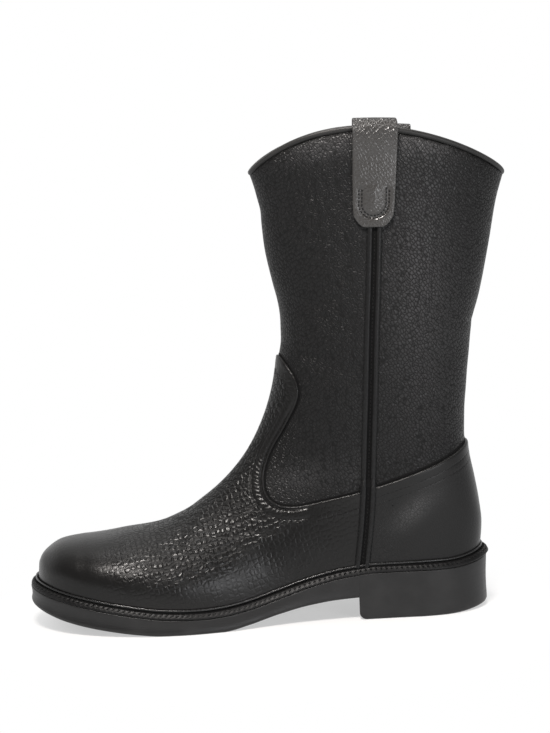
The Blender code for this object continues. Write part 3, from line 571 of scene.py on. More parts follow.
# Vamp: the front overlay with its tongue up the instep, cut from the same hide. Its edge is folded
# under and stitched down a little way in, where the thread puckers the hide; its sides run down along
# the side seams.
SEAM_LINE = np.array((
    (78.4, 312.0), (75.9, 250.0), (74.3, 214.0), (72.6, 182.0), (70.9, 140.0), (69.6, 109.0),
    (68.6, 82.0), (66.6, 58.0), (64.2, 39.0), (61.8, 20.0),
))
VAMP_EDGE = np.array((
    (-6.0, 178.5), (6.0, 174.0), (14.0, 168.4), (21.2, 159.0), (25.6, 150.0), (26.2, 141.0),
    (18.6, 123.4), (7.8, 104.3), (3.4, 92.0), (2.8, 82.0), (6.3, 74.4), (14.4, 70.6), (24.0, 70.4),
    (43.8, 74.3), (68.2, 79.8),
))
VAMP_FOLD = np.array((
    (0.0, -0.3), (-0.2, 0.2), (-0.25, 0.8), (-0.1, 1.3), (0.25, 1.62), (0.65, 1.72), (1.0, 1.6),
    (1.3, 1.25), (1.55, 0.9), (1.85, 0.75), (2.15, 0.85), (2.45, 1.2), (2.75, 1.6), (3.1, 1.85),
    (3.7, 1.98), (4.4, 2.04), (5.2, 2.05), (6.0, 2.0), (6.7, 1.9), (7.3, 1.74), (7.8, 1.5),
    (8.2, 1.34), (8.6, 1.32), (9.0, 1.5), (9.4, 1.8), (9.9, 1.96), (10.5, 1.98), (11.4, 1.91),
))
VAMP_STITCH = 1.85
VAMP_MIDDLE = (-60.0, 60.0)
# The last of these is the width of the painted shadow strip beside the vamp's edge.
OVERLAY_TOP, OVERLAY_UNDER, EDGE_STEP, VAMP_SHADOW_WIDTH = 1.9, 3.2, 0.5, 1.6
INNER_LEAN, INNER_LEAN_FROM, INNER_LEAN_OVER = 22.0, 85.0, 227.0
PUCKER_PITCH, PUCKER_LOW, PUCKER_HIGH, VAMP_FLAT = 2.3, 0.04, 0.26, 1.78


def seam_x(z, side):
    """Side seam's x at height z; the inner one leans further back towards the collar."""
    lean = INNER_LEAN * np.clip((z - INNER_LEAN_FROM) / INNER_LEAN_OVER, 0.0, None)
    return smooth(SEAM_LINE[::-1, 1], SEAM_LINE[::-1, 0], z) + (lean if side > 0 else 0.0)


def side_place(x, z):
    """Station and angle of a side-view point, settled against the collar's rise."""
    lift = 0.0
    for _ in range(16):
        v, r = station_of(x, z - lift)
        a = angle_round(section(v), r)
        lift = 0.3 * lift + 0.7 * collar_lift(v, a)
    return v, a


def path_on_body(line, side, step):
    """Stations and angles along a side-view line laid on one side of the body, with equal steps; the
    line is cut where it leaves the body's outline."""
    v, r = station_of(line[:, 0], line[:, 1])
    size = section(v)
    on = (line[:, 1] > TURN_Z) | ((r > size["front"]) & (r < size["end"]))
    v, a = side_place(line[on, 0], line[on, 1])
    for k, other in ((0, 1), (-1, -2)):
        if a[k] < 0.3:
            v[k], a[k] = v[k] + (v[k] - v[other]) * 0.2, 0.0
        if a[k] > math.pi - 0.3:
            v[k], a[k] = v[k] + (v[k] - v[other]) * 0.2, math.pi
    length = run_length(last_surface(v, a, side))
    at = np.linspace(0.0, length[-1], int(length[-1] / step) + 1)
    return np.interp(at, length, v), np.interp(at, length, a)


def lay_band(path, side, profile, toward):
    """A profile (distance across, height) carried along a path on the body: each point is moved
    across, square to the path and towards a side-view point, and lifted along the normal."""
    v, a = path
    points, normal = skin_point(v, a, side)
    run = np.gradient(points, axis=0)
    for k in (0, -1):
        if a[k] < 1e-6 or a[k] > math.pi - 1e-6:
            run[k] = (0.0, math.copysign(1.0, run[k, 1]), 0.0)
    across = np.cross(normal, unit(run))
    aim = np.array((toward[0], 0.0, toward[1])) - points
    aim[:, 1] = 0.0
    if np.sum(across * aim) < 0:
        across = -across
    moved = points[:, None] + across[:, None] * profile[None, :, :1]
    ground, out = skin_point(*body_place(moved, side), side)
    return ground + out * profile[None, :, 1:], out


def inside_outline(points, outline):
    """Whether side-view points lie in a closed outline: they do where a level ray crosses it oddly."""
    x, z = points[..., 0, None], points[..., 2, None]
    x0, z0 = outline.T
    x1, z1 = np.roll(outline, -1, axis=0).T
    rise = np.where(z1 == z0, 1e-9, z1 - z0)
    crossing = ((z0 > z) != (z1 > z)) & (x < x0 + (z - z0) / rise * (x1 - x0))
    return np.sum(crossing, axis=-1) % 2 == 1


def nearest(points, line):
    """Distance of each point to the nearest point of a line."""
    gap = points[..., None, :] - line
    return np.sqrt(np.min(np.sum(gap * gap, axis=-1), axis=-1))


def overlay(stations, outline, edge, profile, toward, grain_of, pucker, shadow_width):
    """An overlay's patches: the field on the body inside a side-view outline, and along its edge on
    both sides a finer band that carries the fold, the stitched groove and the puckers beside it, with
    a narrow near-black strip on the hide beneath, laid before the edge as painted shadow."""
    field, out = body_grid(stations, np.linspace(0.0, 1.0, 141))
    paths = {side: path_on_body(edge, side, EDGE_STEP) for side in (-1, 1)}
    lines = [last_surface(*paths[side], side)[::2] for side in (-1, 1)]
    half = field.shape[1] // 2
    far = np.concatenate(
        (nearest(field[:, :half], lines[0]), nearest(field[:, half:], lines[1])), axis=1)
    on = inside_outline(field, outline) & (far > profile[-1, 0] - OVERLAY_UNDER)
    keep = on[:-1, :-1] & on[1:, :-1] & on[:-1, 1:] & on[1:, 1:]
    patches = [patch(
        field + out * OVERLAY_TOP, keep=keep, out=out, grain=grain_of(field), wear=bells(field, PAINTED_SHEEN_SPOTS))]
    for side in (-1, 1):
        band, band_out = lay_band(paths[side], side, profile, toward)
        run = np.arange(len(band))[:, None] * EDGE_STEP
        band = band + band_out * pucker(band, run, profile[:, 0])[..., None]
        inward = ramp(profile[:, 0], 7.0, 11.0)
        patches.append(patch(band, out=band_out, grain=(0.25 + 0.75 * inward) * grain_of(band),
                             wear=bells(band, PAINTED_SHEEN_SPOTS)))
        # Painted shadow: a near-black strip on the hide just outside the overlay's edge, where the edge
        # shades it.
        shadow_profile = np.array(((-1.0, -0.2), (-0.9, 0.2), (-0.4, 0.25), (0.1, 0.25))) * (shadow_width, 1.0)
        strip, strip_out = lay_band(paths[side], side, shadow_profile, toward)
        patches.append(patch(strip, out=strip_out, slot=1, grain=0.0, wear=0.0))
    return patches, paths


def vamp_pucker(points, run, across):
    """Puckers of the hide beside the stitches: slanted waves that die out inwards, strong round the
    lower bend of the edge; up the tongue and along the side the hide lies flat behind the stitches."""
    x, z = points[..., 0], points[..., 2]
    wave = np.cos(2 * math.pi * (run + 0.45 * across + 0.5 * np.sin(run * 0.31)) / PUCKER_PITCH)
    begin = ramp(across, 2.2, 3.0)
    fade = ramp(across, 8.4, 6.6)
    bend = np.exp(-((x - 2.0) / 15.0) ** 2 - ((z - 90.0) / 30.0) ** 2)
    away = np.maximum(ramp(x, 20.0, 34.0), ramp(z, 126.0, 140.0))
    level = np.where(across > 0.9, VAMP_FLAT - VAMP_FOLD[:, 1], 0.0)
    return wave * begin * fade * (PUCKER_LOW + PUCKER_HIGH * bend) + level * away


def vamp_grain(points):
    """Grain of the vamp: strong over the instep, fading to a nearly smooth toe and lower edge."""
    x, z = points[..., 0], points[..., 2]
    foot = np.interp(x, (-100.0, -60.0, -30.0, 0.0, 25.0, 60.0), (20.0, 26.0, 33.0, 50.0, 62.0, 68.0))
    return 0.08 + 0.92 * eased(x, -112.0, -52.0) * (0.12 + 0.88 * ramp(z - foot, -5.0, 7.0))


edge = along_curve(VAMP_EDGE, 2400)
seam_z = np.linspace(79.2, 32.0, 20)
under_x = np.linspace(58.0, TOE_X, 60)
vamp_outline = np.vstack((
    edge[::12], np.column_stack((seam_x(seam_z, -1) - 0.3, seam_z)),
    np.column_stack((under_x, sole_top(under_x) - 3.0)), ((-220.0, 10.0), (-220.0, 178.5))))
vamp_stations = np.concatenate((
    np.linspace(1.02, HEEL_STATION, 54)[:-1], foot_v, nose_v[1:]))
patches, vamp_paths = overlay(
    vamp_stations, vamp_outline, edge, VAMP_FOLD, VAMP_MIDDLE, vamp_grain, vamp_pucker, VAMP_SHADOW_WIDTH)
vamp_leather = grain_leather(
    "vamp_leather", (0.009, 0.0088, 0.0087, 1.0), 0.0034, 0.00034, 0.29, turn=15.0, stretch=1.0,
    loose=0.5, specular=0.25)
# Painted shade: a near-black, matt finish for grooves, recesses and strips beside edges, where shade
# falls.
painted_shade = plain_leather(
    "painted_shade", (0.0025, 0.0025, 0.0026, 1.0), (0.0035, 0.0035, 0.0036, 1.0), 0.85, 0.00004, 0.15)
add_piece("vamp_overlay", patches, [vamp_leather, painted_shade], ["vamp"])

# Counter: the overlay round the heel, of the same hide stretched nearly smooth over a stiffener. Its
# top edge is folded and held by two rows of stitches.
COUNTER_EDGE = np.array((
    (68.8, 80.3), (88.7, 86.2), (108.6, 92.9), (124.1, 99.2), (133.0, 103.8), (160.0, 121.0),
))
COUNTER_FOLD = np.array((
    (0.0, -0.3), (-0.2, 0.2), (-0.28, 0.8), (-0.15, 1.35), (0.2, 1.75), (0.7, 1.95), (1.4, 2.0),
    (2.4, 1.99), (3.6, 1.97), (4.8, 1.96), (5.3, 1.94), (5.6, 1.9), (5.8, 1.87), (6.0, 1.9),
    (6.3, 1.94), (6.8, 1.96), (8.0, 1.97), (9.3, 1.96), (9.8, 1.94), (10.1, 1.9), (10.3, 1.88),
    (10.5, 1.9), (10.8, 1.94), (11.4, 1.96), (12.6, 1.94), (14.0, 1.91),
))
COUNTER_ROWS = (5.8, 10.3)
COUNTER_MIDDLE = (105.0, 50.0)
# Width of the painted shadow strip beside the counter's edge.
COUNTER_SHADOW_WIDTH = 2.2


def counter_grain(points):
    """Grain of the counter: faint everywhere, a little stronger near the side seams and strong in the spot
    painted paler as a highlight on its side.
    """
    near = ramp(points[..., 0], 100.0, 60.0)
    return 0.12 + 0.25 * near + 0.8 * np.clip(bells(points, PAINTED_SHEEN_SPOTS[:1]), 0.0, 1.0)


def counter_pucker(points, run, across):
    """Slight puckers beside the counter's first row of stitches."""
    return 0.04 * np.cos(2 * math.pi * run / 3.1) * ramp(np.abs(across - 7.2), 1.2, 0.0)


edge = along_curve(COUNTER_EDGE, 2400)[::-1]
counter_outline = np.vstack((
    edge[::12], np.column_stack((seam_x(seam_z, -1) + 0.3, seam_z)),
    ((58.0, 10.0), (220.0, 10.0), (220.0, 121.0))))
counter_stations = np.concatenate((
    np.linspace(1.08, HEEL_STATION, 64)[:-1], foot_v[foot_v < 1.56]))
patches, counter_paths = overlay(
    counter_stations, counter_outline, edge, COUNTER_FOLD, COUNTER_MIDDLE, counter_grain,
    counter_pucker, COUNTER_SHADOW_WIDTH)
counter_leather = grain_leather("counter_leather", (0.011, 0.011, 0.0111, 1.0), 0.0017, 0.00022, 0.34)
add_piece("counter_overlay", patches, [counter_leather, painted_shade], ["counter"])

# Side seams: a folded strip covers the joint of front and back panel on each side. It shows as two
# rounded ridges with a deep stitched groove between them, from the pull strap down to the welt.
SEAM_PROFILE = np.array((
    (-5.1, -0.5), (-4.85, -0.1), (-4.6, 0.35), (-4.3, 0.75), (-3.8, 1.1), (-3.1, 1.28), (-2.4, 1.25),
    (-1.8, 1.0), (-1.45, 0.55), (-1.25, 0.05), (-0.9, -0.25), (0.0, -0.3),
))
SEAM_PROFILE = np.vstack((SEAM_PROFILE, SEAM_PROFILE[-2::-1] * (-1.0, 1.0)))
BEHIND_SEAM = (300.0, 150.0)
SEAM_GROOVE, SEAM_STITCH = 1.45, 4.75
SEAM_TOP, SEAM_SPLIT, SEAM_FOOT = 249.0, 82.5, 29.8
seam_leather = grain_leather("seam_leather", (0.01, 0.01, 0.0103, 1.0), 0.0019, 0.0001, 0.34)
seam_paths = {}


def seam_base(path, side):
    """Height of a seam's foot over the body: on the shaft's leather above, a little over the
    overlays below."""
    height = last_surface(*path, side)[:, 2]
    return np.interp(height, (SEAM_SPLIT, SEAM_SPLIT + 5.0), (OVERLAY_TOP + 0.45, 0.35))


for label, z_from, z_to in (("shaft", SEAM_TOP, SEAM_SPLIT), ("foot", SEAM_SPLIT, SEAM_FOOT)):
    for word, side in (("outer", -1), ("inner", 1)):
        z = np.linspace(z_from, z_to, 400)
        path = path_on_body(np.column_stack((seam_x(z, side), z)), side, 1.0)
        ridge, ridge_out = lay_band(path, side, SEAM_PROFILE, BEHIND_SEAM)
        ridge = ridge + ridge_out * seam_base(path, side)[:, None, None]
        node = label + "_seam_" + word
        ridges = patch(ridge, out=ridge_out, grain=0.45)
        # Painted shade: the faces in the middle groove get the near-black finish.
        in_groove = np.abs(SEAM_PROFILE[:-1, 0] + SEAM_PROFILE[1:, 0]) < 2 * SEAM_GROOVE
        ridges["slot"] = np.tile(in_groove, len(ridge) - 1)
        add_piece(node + "_ridges", [ridges], [seam_leather, painted_shade], [node])
        seam_paths[label, side] = path

# Collar binding: a strip of smooth leather, rolled to a round edge and stitched down over the top of
# the wall. It follows the collar all round, under the pull straps.
BINDING_HALF, BINDING_LOW, BINDING_TOP = 2.3, 0.1, 4.2
smooth_leather = plain_leather(
    "smooth_leather", (0.018, 0.018, 0.0174, 1.0), (0.025, 0.0244, 0.0238, 1.0), 0.45, 0.00006, 0.3)
around = np.linspace(0.0, math.pi, 220)
sides = [skin_point(np.zeros_like(around), around, side) for side in (-1, 1)]
rim_point, rim_out = [np.vstack((one, other[-2:0:-1])) for one, other in zip(*sides)]
rim_out = unit(rim_out * np.array((1.0, 1.0, 0.0)))
turn = np.linspace(0.0, 2 * math.pi, 25)[:-1]
wide = BINDING_HALF * np.cos(turn)
tall = (BINDING_LOW + BINDING_TOP) / 2 + (BINDING_TOP - BINDING_LOW) / 2 * np.sin(turn)
core = rim_point - rim_out * WALL / 2
rolled = core[:, None] + rim_out[:, None] * wide[:, None] + np.array((0.0, 0.0, 1.0)) * tall[:, None]
add_piece("binding_roll", [patch(rolled, (True, True))], [smooth_leather],
          ["collar_binding"], closed=True)

# Pull straps: a folded strip of smooth leather over each side of the collar, sewn down outside with a
# horseshoe of stitches and running down a little way inside.
STRAP = np.array((
    (0.0, 14.1), (22.0, 13.7), (43.0, 13.2), (50.5, 12.5), (54.5, 10.2), (57.2, 7.4), (58.0, 5.2),
))
STRAP_THICK, STRAP_LIE, STRAP_CLEAR, STRAP_SHIFT = 2.0, 0.3, 2.3, -0.9
STRAP_RISE = {-1: 3.9, 1: 6.9}
# The last of these sets how much paler the strap's outside is painted, as a painted highlight.
STRAP_TOP, STRAP_LEAN, STRAP_BOW, STRAP_SHEEN = 306.2, 1.7, 1.45, 0.21
STRAP_TROUGH, STRAP_PAD = 0.9, 0.7


def strap_sheet(side, extra, across, drops):
    """One face of a strap, extra from the wall: a leg down the outside, a bow over the binding whose
    sides lean in early, and a leg inside, with columns across the width."""
    z = STRAP_TOP - drops[:, None] + 0 * across
    x = seam_x(z, side) + STRAP_SHIFT + across * smooth(STRAP[:, 0], STRAP[:, 1], drops)[:, None]
    ground, out = skin_point(*side_place(x, z), side)
    clear = STRAP_LIE + (STRAP_CLEAR - STRAP_LIE) * eased(drops, 16.0, 0.0)[:, None, None]
    outside = ground + out * (clear + extra[..., None])
    inside = ground - out * (WALL + clear + extra[..., None])
    rim_x = seam_x(STRAP_TOP, side) + STRAP_SHIFT + across * STRAP[0, 1]
    rim_a = angle_round(section(np.zeros_like(rim_x)), rim_x - TURN_X)
    base, base_out = skin_point(np.zeros_like(rim_a), rim_a, side)
    base[:, 2] = base[:, 2].mean() + 0.3 * (base[:, 2] - base[:, 2].mean())
    base_out = unit(base_out * np.array((1.0, 1.0, 0.0)))
    turn = strap_over[:, None, None]
    radius = WALL / 2 + STRAP_CLEAR + extra[-1:, :, None]
    bowed = np.sign(np.cos(turn)) * np.abs(np.cos(turn)) ** STRAP_BOW
    lean = STRAP_LEAN * (1 + np.cos(turn)) / 2
    arch = base + base_out * (radius * bowed + lean - WALL / 2)
    arch = arch + np.array((0.0, 0.0, 1.0)) * (STRAP_RISE[side] + radius) * np.sin(turn)
    return np.concatenate((outside, arch, inside[::-1]))


strap_over = np.linspace(0.0, math.pi, 25)
corner = np.radians(np.linspace(90.0, -90.0, 9))
strap_across = np.concatenate((
    np.linspace(-0.93, 0.93, 47), 0.93 + 0.07 * np.cos(corner), np.linspace(0.93, -0.93, 9)[1:-1],
    -0.93 - 0.07 * np.cos(corner[::-1])))
strap_depth = np.concatenate((
    np.ones(47), 0.5 + 0.5 * np.sin(corner), np.zeros(7), 0.5 + 0.5 * np.sin(corner[::-1])))
strap_drops = np.concatenate((
    (58.0, 57.9, 57.6), np.linspace(57.1, 29.6, 56), np.linspace(28.6, 4.5, 14)))
strap_close = np.concatenate(((0.0, 0.6, 0.9), np.ones(len(strap_drops) - 3)))[:, None]
HORSESHOE, HORSESHOE_HALF, HORSESHOE_FROM, HORSESHOE_TURN = 8.5, 1.0, 33.6, 43.0
strap_x = strap_across * smooth(STRAP[:, 0], STRAP[:, 1], strap_drops)[:, None]
shoe_reach = np.hypot(strap_x, np.clip(strap_drops[:, None] - HORSESHOE_TURN, 0.0, None))
shoe_fade = ramp(strap_drops[:, None], HORSESHOE_FROM - 2.5, HORSESHOE_FROM + 0.5)
trough = np.exp(-((shoe_reach - HORSESHOE) / 1.6) ** 2) * shoe_fade * (strap_depth > 0.99)
pad = ramp(shoe_reach, HORSESHOE - 1.0, 0.0) * shoe_fade * (strap_depth > 0.99)
strap_leather = grain_leather(
    "strap_leather", (0.02, 0.0191, 0.0184, 1.0), 0.0019, 0.00026, 0.25, contrast=0.3, loose=0.6,
    specular=0.5)
extra = STRAP_THICK * (0.5 + (strap_depth - 0.5) * strap_close)
extra = extra - STRAP_TROUGH * trough + STRAP_PAD * pad
fold = np.concatenate((ramp(strap_drops, 9.6, -2.4), np.ones_like(strap_over), 0 * strap_drops))
# Painted highlight and shade on the strap: its outside leg and the lower outer side of the bow are painted
# paler, while the top of the bow and the leg inside keep the darker colour as painted shade.
arch_sheen = ramp(np.sin(strap_over), 0.95, 0.65) * (strap_over < math.pi / 2)
strap_sheen_share = np.concatenate((np.ones_like(strap_drops), arch_sheen, 0 * strap_drops))
for word, side in (("outer", -1), ("inner", 1)):
    loop = strap_sheet(side, extra, strap_across, strap_drops)
    strap_grain = (0.4 + 0.65 * fold)[:, None] + 0 * loop[..., 0]
    strap_wear = STRAP_SHEEN * strap_sheen_share[:, None] + 0 * loop[..., 0]
    add_piece("strap_loop_" + word, [patch(loop, (False, True), grain=strap_grain, wear=strap_wear)],
              [strap_leather], ["pull_strap_" + word], closed=True)

# Welt: a leather strip sewn all round between upper and sole. Its inner edge stands up as a glossy
# round lip against the leather; outside a groove runs the stitched band, marked by a wheel.
WELT_PROFILE = np.array((
    (0.0, 0.25), (0.5, 0.2), (0.95, 0.25), (1.0, 0.5), (1.0, 0.9), (0.985, 1.25), (0.95, 1.55),
    (0.9, 1.9), (0.84, 2.3), (0.77, 2.7), (0.7, 3.05), (0.63, 3.35), (0.57, 3.6), (0.51, 3.75),
    (0.45, 3.6), (0.36, 3.5), (0.27, 3.55), (0.22, 3.85), (0.2, 4.25), (0.22, 4.6), (0.27, 4.85),
    (0.31, 5.1), (0.33, 5.4), (0.31, 5.75), (0.26, 6.0), (0.18, 6.12), (0.1, 6.05), (0.02, 5.75),
    (-0.03, 5.0), (-0.05, 2.0),
))
MARK_PITCH, MARK_DEPTH = 3.4, 0.12
WELT_FLARE, WELT_RISE = 2.6, 4.5


def points_at(line, length, at):
    """Points of a line, or of values along it, at given lengths."""
    return np.column_stack([np.interp(at, length, line[:, k]) for k in range(line.shape[1])])


def ease_steps(line, steps):
    """The line resampled by length, with steps closer together at both round ends."""
    length = run_length(line)
    share = np.linspace(0.0, 1.0, steps + 1)
    at = length[-1] * (share - 0.6 * np.sin(2 * math.pi * share) / (2 * math.pi))
    return points_at(line, length, at)


def foot_line(lift, offset, steps):
    """Closed line round the foot at a height above the sole, on the body moved out by offset."""
    ends = []
    for key, low, high in (("end", 1.05, HEEL_STATION + 0.05), ("front", 2.0, 3.0)):
        for _ in range(40):
            middle = np.array([(low + high) / 2])
            short = reach_to(middle, lift)[0] < section(middle)[key][0]
            low, high = (low, middle[0]) if short else (middle[0], high)
        ends.append((low + high) / 2)
    v = ends[0] + (ends[1] - ends[0]) * eased(np.linspace(0.0, 1.0, 900), 0.0, 1.0) ** 1.6
    a = angle_round(section(v), reach_to(v, lift))
    lines = []
    for side in (-1, 1):
        point, out = skin_point(v, a, side)
        lines.append(ease_steps(point + out * offset, steps))
    for k in (0, -1):
        lines[0][k] = lines[1][k] = (lines[0][k] + lines[1][k]) / 2
    return np.vstack((lines[0], lines[1][-2:0:-1]))


def heel_turned(x):
    """How far a place lies round the back of the heel, from 0 at its flank to 1 at its end."""
    return ramp(x, 117.0, HEEL_X) ** 2


WELT_STEPS = 760
edges = [ease_steps(outline_side(FEATHER_XS, side, 0.15), WELT_STEPS) for side in (-1, 1)]
welt_edge = np.vstack((edges[0], edges[1][-2:0:-1]))
welt_edge[:, 0] += WELT_FLARE * ramp(welt_edge[:, 0], 120.0, HEEL_X) ** 2
low_line = foot_line(0.5, 2.2, WELT_STEPS)[:, :2]
high_line = foot_line(5.2, 2.2, WELT_STEPS)[:, :2]
nearer = np.linalg.norm(welt_edge - low_line, axis=1) < np.linalg.norm(welt_edge - high_line, axis=1)
welt_body = np.where(nearer[:, None], low_line, high_line)
ring = np.linalg.norm(np.diff(welt_edge, axis=0, append=welt_edge[:1]), axis=1)
welt_run = np.concatenate(((0.0,), np.cumsum(ring)[:-1]))
marks = round(float(np.sum(ring)) / MARK_PITCH)
mark = np.cos(2 * math.pi * marks * welt_run / np.sum(ring))
share, height = WELT_PROFILE.T
flat = welt_body[:, None] + (welt_edge - welt_body)[:, None] * share[:, None]
on_band = np.interp(share, (0.5, 0.58, 0.9, 0.97), (0.0, 1.0, 1.0, 0.3)) * (height > 1.4)
behind = heel_turned(flat[..., 0])
welt_z = sole_top(flat[..., 0]) + WELT_RISE * behind + height * (1 + 0.3 * behind)
welt_z = welt_z + MARK_DEPTH * (mark[:, None] - 0.6) * on_band
welt_leather = plain_leather(
    "welt_leather", (0.006, 0.006, 0.0062, 1.0), (0.01, 0.01, 0.0102, 1.0), 0.45, 0.00006, 0.2)
strip = patch(np.dstack((flat, welt_z)), (True, True))
# Painted shade: the recess under the lip gets the near-black finish; the lip gets a glossy one.
recess = (np.roll(share, -1) + share < 1.2) & (np.roll(height, -1) + height > 6.6) & (height < 4.8)
lip = (np.roll(height, -1) + height > 9.6) & (share > 0.05)
strip["slot"] = np.tile(recess + 2 * lip, len(flat))
welt_lip = plain_leather(
    "welt_lip", (0.01, 0.01, 0.0102, 1.0), (0.014, 0.014, 0.0142, 1.0), 0.26, 0.00008)
add_piece("welt_strip", [strip], [welt_leather, painted_shade, welt_lip], ["welt"],
          closed=True)

# Outsole: one moulded black rubber unit with the heel in one piece; its side is slightly hollow, its
# lower edge is rounded, and the walking face has shallow cross grooves.
SOLE_RINGS = np.array((
    (8.0, 1.0, -0.05), (0.55, 1.0, 0.0), (0.2, 1.0, -0.1), (0.03, 1.0, -0.35), (0.0, 1.0, -0.8),
    (0.2, 0.82, 0.0), (0.45, 0.62, 0.0), (0.5, 0.45, 0.2), (0.35, 0.25, 0.9), (0.1, 0.08, 1.6),
    (0.0, 0.0, 2.1), (0.08, 0.0, 1.2), (0.4, 0.0, 0.45), (1.2, 0.0, 0.0),
))
BREAST_X, BREAST_RADIUS, BREAST_SKEW = 65.5, 5.0, 5.0
TREAD_PITCH, TREAD_DEPTH = 8.0, 1.3
HEEL_FLARE, HEEL_RISE = 0.9, (3.0, 1.5)


def sole_bottom(x):
    """Walking face: the arch ahead of the heel breast, a rounded breast corner, then the flat heel."""
    arch = smooth(SOLE[:, 0], SOLE[:, 2], x)
    step = np.clip(BREAST_RADIUS - (x - BREAST_X), 0.0, BREAST_RADIUS)
    corner = BREAST_RADIUS - np.sqrt(BREAST_RADIUS ** 2 - step ** 2)
    return np.where(x <= BREAST_X, arch, corner) - ORIGIN[2]


heel_turn = np.linspace(0.0, math.pi / 2, 34)
sole_x = np.concatenate((
    HEEL_X - (HEEL_X - HEEL_ROUND_X) * (1 - np.cos(heel_turn)), np.linspace(97.0, 71.5, 19),
    BREAST_X + BREAST_RADIUS * np.array((1.0, 0.7, 0.45, 0.25, 0.1, 0.03, 0.0, -0.002, -0.1)),
    np.linspace(64.0, -64.0, 117), TOE_X + (-65.0 - TOE_X) * (1 - np.cos(heel_turn[::-1]))))
bottom = sole_bottom(sole_x)
skew = BREAST_SKEW * np.clip(1 - ((sole_x - BREAST_X) / 60.0) ** 2, 0.0, 1.0) ** 2
rings = []
for inset, share, lift in SOLE_RINGS:
    sides = []
    for side in (-1, 1):
        at = sole_x + side * skew
        turned = heel_turned(at)
        line = outline_side(at, side, inset)
        line[:, 0] += HEEL_FLARE * turned
        rise = turned * (HEEL_RISE[0] + HEEL_RISE[1] * share)
        z = bottom + share * (sole_top(at) - bottom) + lift + rise
        sides.append(np.column_stack((line, z)))
    rings.append(np.vstack((sides[0], sides[1][-2:0:-1])))
outer, inner = sides
across = np.linspace(0.0, 1.0, 61)[:, None]
face = outer[:, None] + (inner - outer)[:, None] * across
margin = np.minimum(across[:, 0], 1 - across[:, 0]) * np.linalg.norm(inner - outer, axis=1)[:, None]
wave = np.cos(2 * math.pi * (face[..., 0] + 5.0 * np.cos(face[..., 1] / 9.0)) / TREAD_PITCH)
groove = ramp(wave, 0.45, 0.8) * ramp(margin, 7.0, 8.5)
forefoot = ramp(face[..., 0], -16.0, -20.0) * ramp(face[..., 0], -136.0, -132.0)
heel_face = ramp(face[..., 0], 80.0, 83.0) * ramp(face[..., 0], 142.0, 139.0)
face[..., 2] += TREAD_DEPTH * groove * (forefoot + heel_face)
lid = rings[0][:len(sole_x)], np.vstack((rings[0][:1], rings[0][:len(sole_x) - 2:-1]))
cover = lid[0][:, None] + (lid[1] - lid[0])[:, None] * np.linspace(0.0, 1.0, 9)[:, None]


def rubber_finish(name):
    """Moulded rubber: nearly black, with rub marks along its length, dusty where the noise is high."""
    material, add = new_material(name, Specular_IOR_Level=0.3)
    place = add.node("ShaderNodeTexCoord", out=3)
    long = add.node("ShaderNodeMapping", None, {"Vector": place, "Scale": (0.25, 0.25, 2.2)})
    rub = add.node("ShaderNodeTexNoise", None, {"Vector": long, "Scale": 420.0, "Detail": 3.0})
    dust = add.node("ShaderNodeTexNoise", None, {"Vector": place, "Scale": 45.0, "Detail": 4.0})
    bump = add.node("ShaderNodeBump", None, {"Strength": 1.0, "Distance": 0.00008, "Height": rub})
    colour = dust.ease(0.4, 0.75).blend((0.013, 0.013, 0.0133, 1.0), (0.02, 0.02, 0.0203, 1.0))
    gloss = 0.42 + (rub - 0.5) * 0.2 + (dust - 0.5) * 0.2
    feed(material, Base_Color=colour, Roughness=gloss, Normal=bump)
    return material


add_piece("sole_unit", [patch(np.array(rings), (False, True)), patch(face), patch(cover)],
          [rubber_finish("black_rubber")], ["outsole"], closed=True)

# Stitching: waxed black thread, one small closed loop for each stitch, lying along the edges of the
# overlays, beside the side seams, in the horseshoe on the straps and round the welt.


def waxed_thread(name, dark, light):
    """Twisted thread: its colour flickers along the plies."""
    material, add = new_material(name, Roughness=0.5, Specular_IOR_Level=0.2)
    place = add.node("ShaderNodeTexCoord", out=3)
    twist = add.node("ShaderNodeTexNoise", None, {"Vector": place, "Scale": 2600.0, "Detail": 1.0})
    feed(material, Base_Color=twist.blend(dark, light))
    return material


# Sizes of the stitches of each row: pitch, length, width, height
VAMP_SEWN, COUNTER_SEWN = (2.8, 2.1, 0.6, 0.5), (2.9, 2.3, 0.6, 0.5)
SEAM_EDGE_SEWN, SEAM_GROOVE_SEWN = (2.4, 1.7, 0.55, 0.45), (2.4, 1.7, 0.6, 0.5)
STRAP_SEWN, WELT_SEWN, WELT_SLANT = (2.3, 1.7, 1.15, 0.5), (MARK_PITCH, 2.6, 0.8, 0.6), 0.5
thread = waxed_thread("waxed_thread", (0.004, 0.004, 0.0042, 1.0), (0.01, 0.01, 0.0102, 1.0))
welt_thread = waxed_thread("welt_thread", (0.003, 0.003, 0.0031, 1.0), (0.008, 0.008, 0.0082, 1.0))


def stitch_row(points, normal, pitch, length, width, height, slant=0.0):
    """Stitches along a line: closed capsules at equal steps, long in the line's direction and turned
    by a slant; as one grid of rings, one stitch after the other."""
    run = run_length(points)
    at = np.arange(pitch / 2, run[-1], pitch)
    middle = points_at(points, run, at)
    up = unit(points_at(normal, run, at))
    ahead = points_at(points, run, at + 0.3) - points_at(points, run, at - 0.3)
    ahead = unit(ahead - up * np.sum(ahead * up, axis=1)[:, None])
    beside = np.cross(up, ahead)
    ahead, beside = ahead + beside * slant, beside - ahead * slant
    u = np.array((-1.0, -0.85, -0.45, 0.45, 0.85, 1.0))[:, None]
    round_turn = np.linspace(0.0, 2 * math.pi, 7)[:-1]
    full = (1 - np.abs(u) ** 3) ** 0.5
    wide, tall = full * np.cos(round_turn) * width / 2, full * np.sin(round_turn) * height / 2
    ring = np.stack(np.broadcast_arrays(u * length / 2, wide, tall), axis=-1)
    frame_axes = np.stack((ahead, beside, up), axis=1)
    return middle[:, None, None] + np.einsum("rcx,nxy->nrcy", ring, frame_axes)


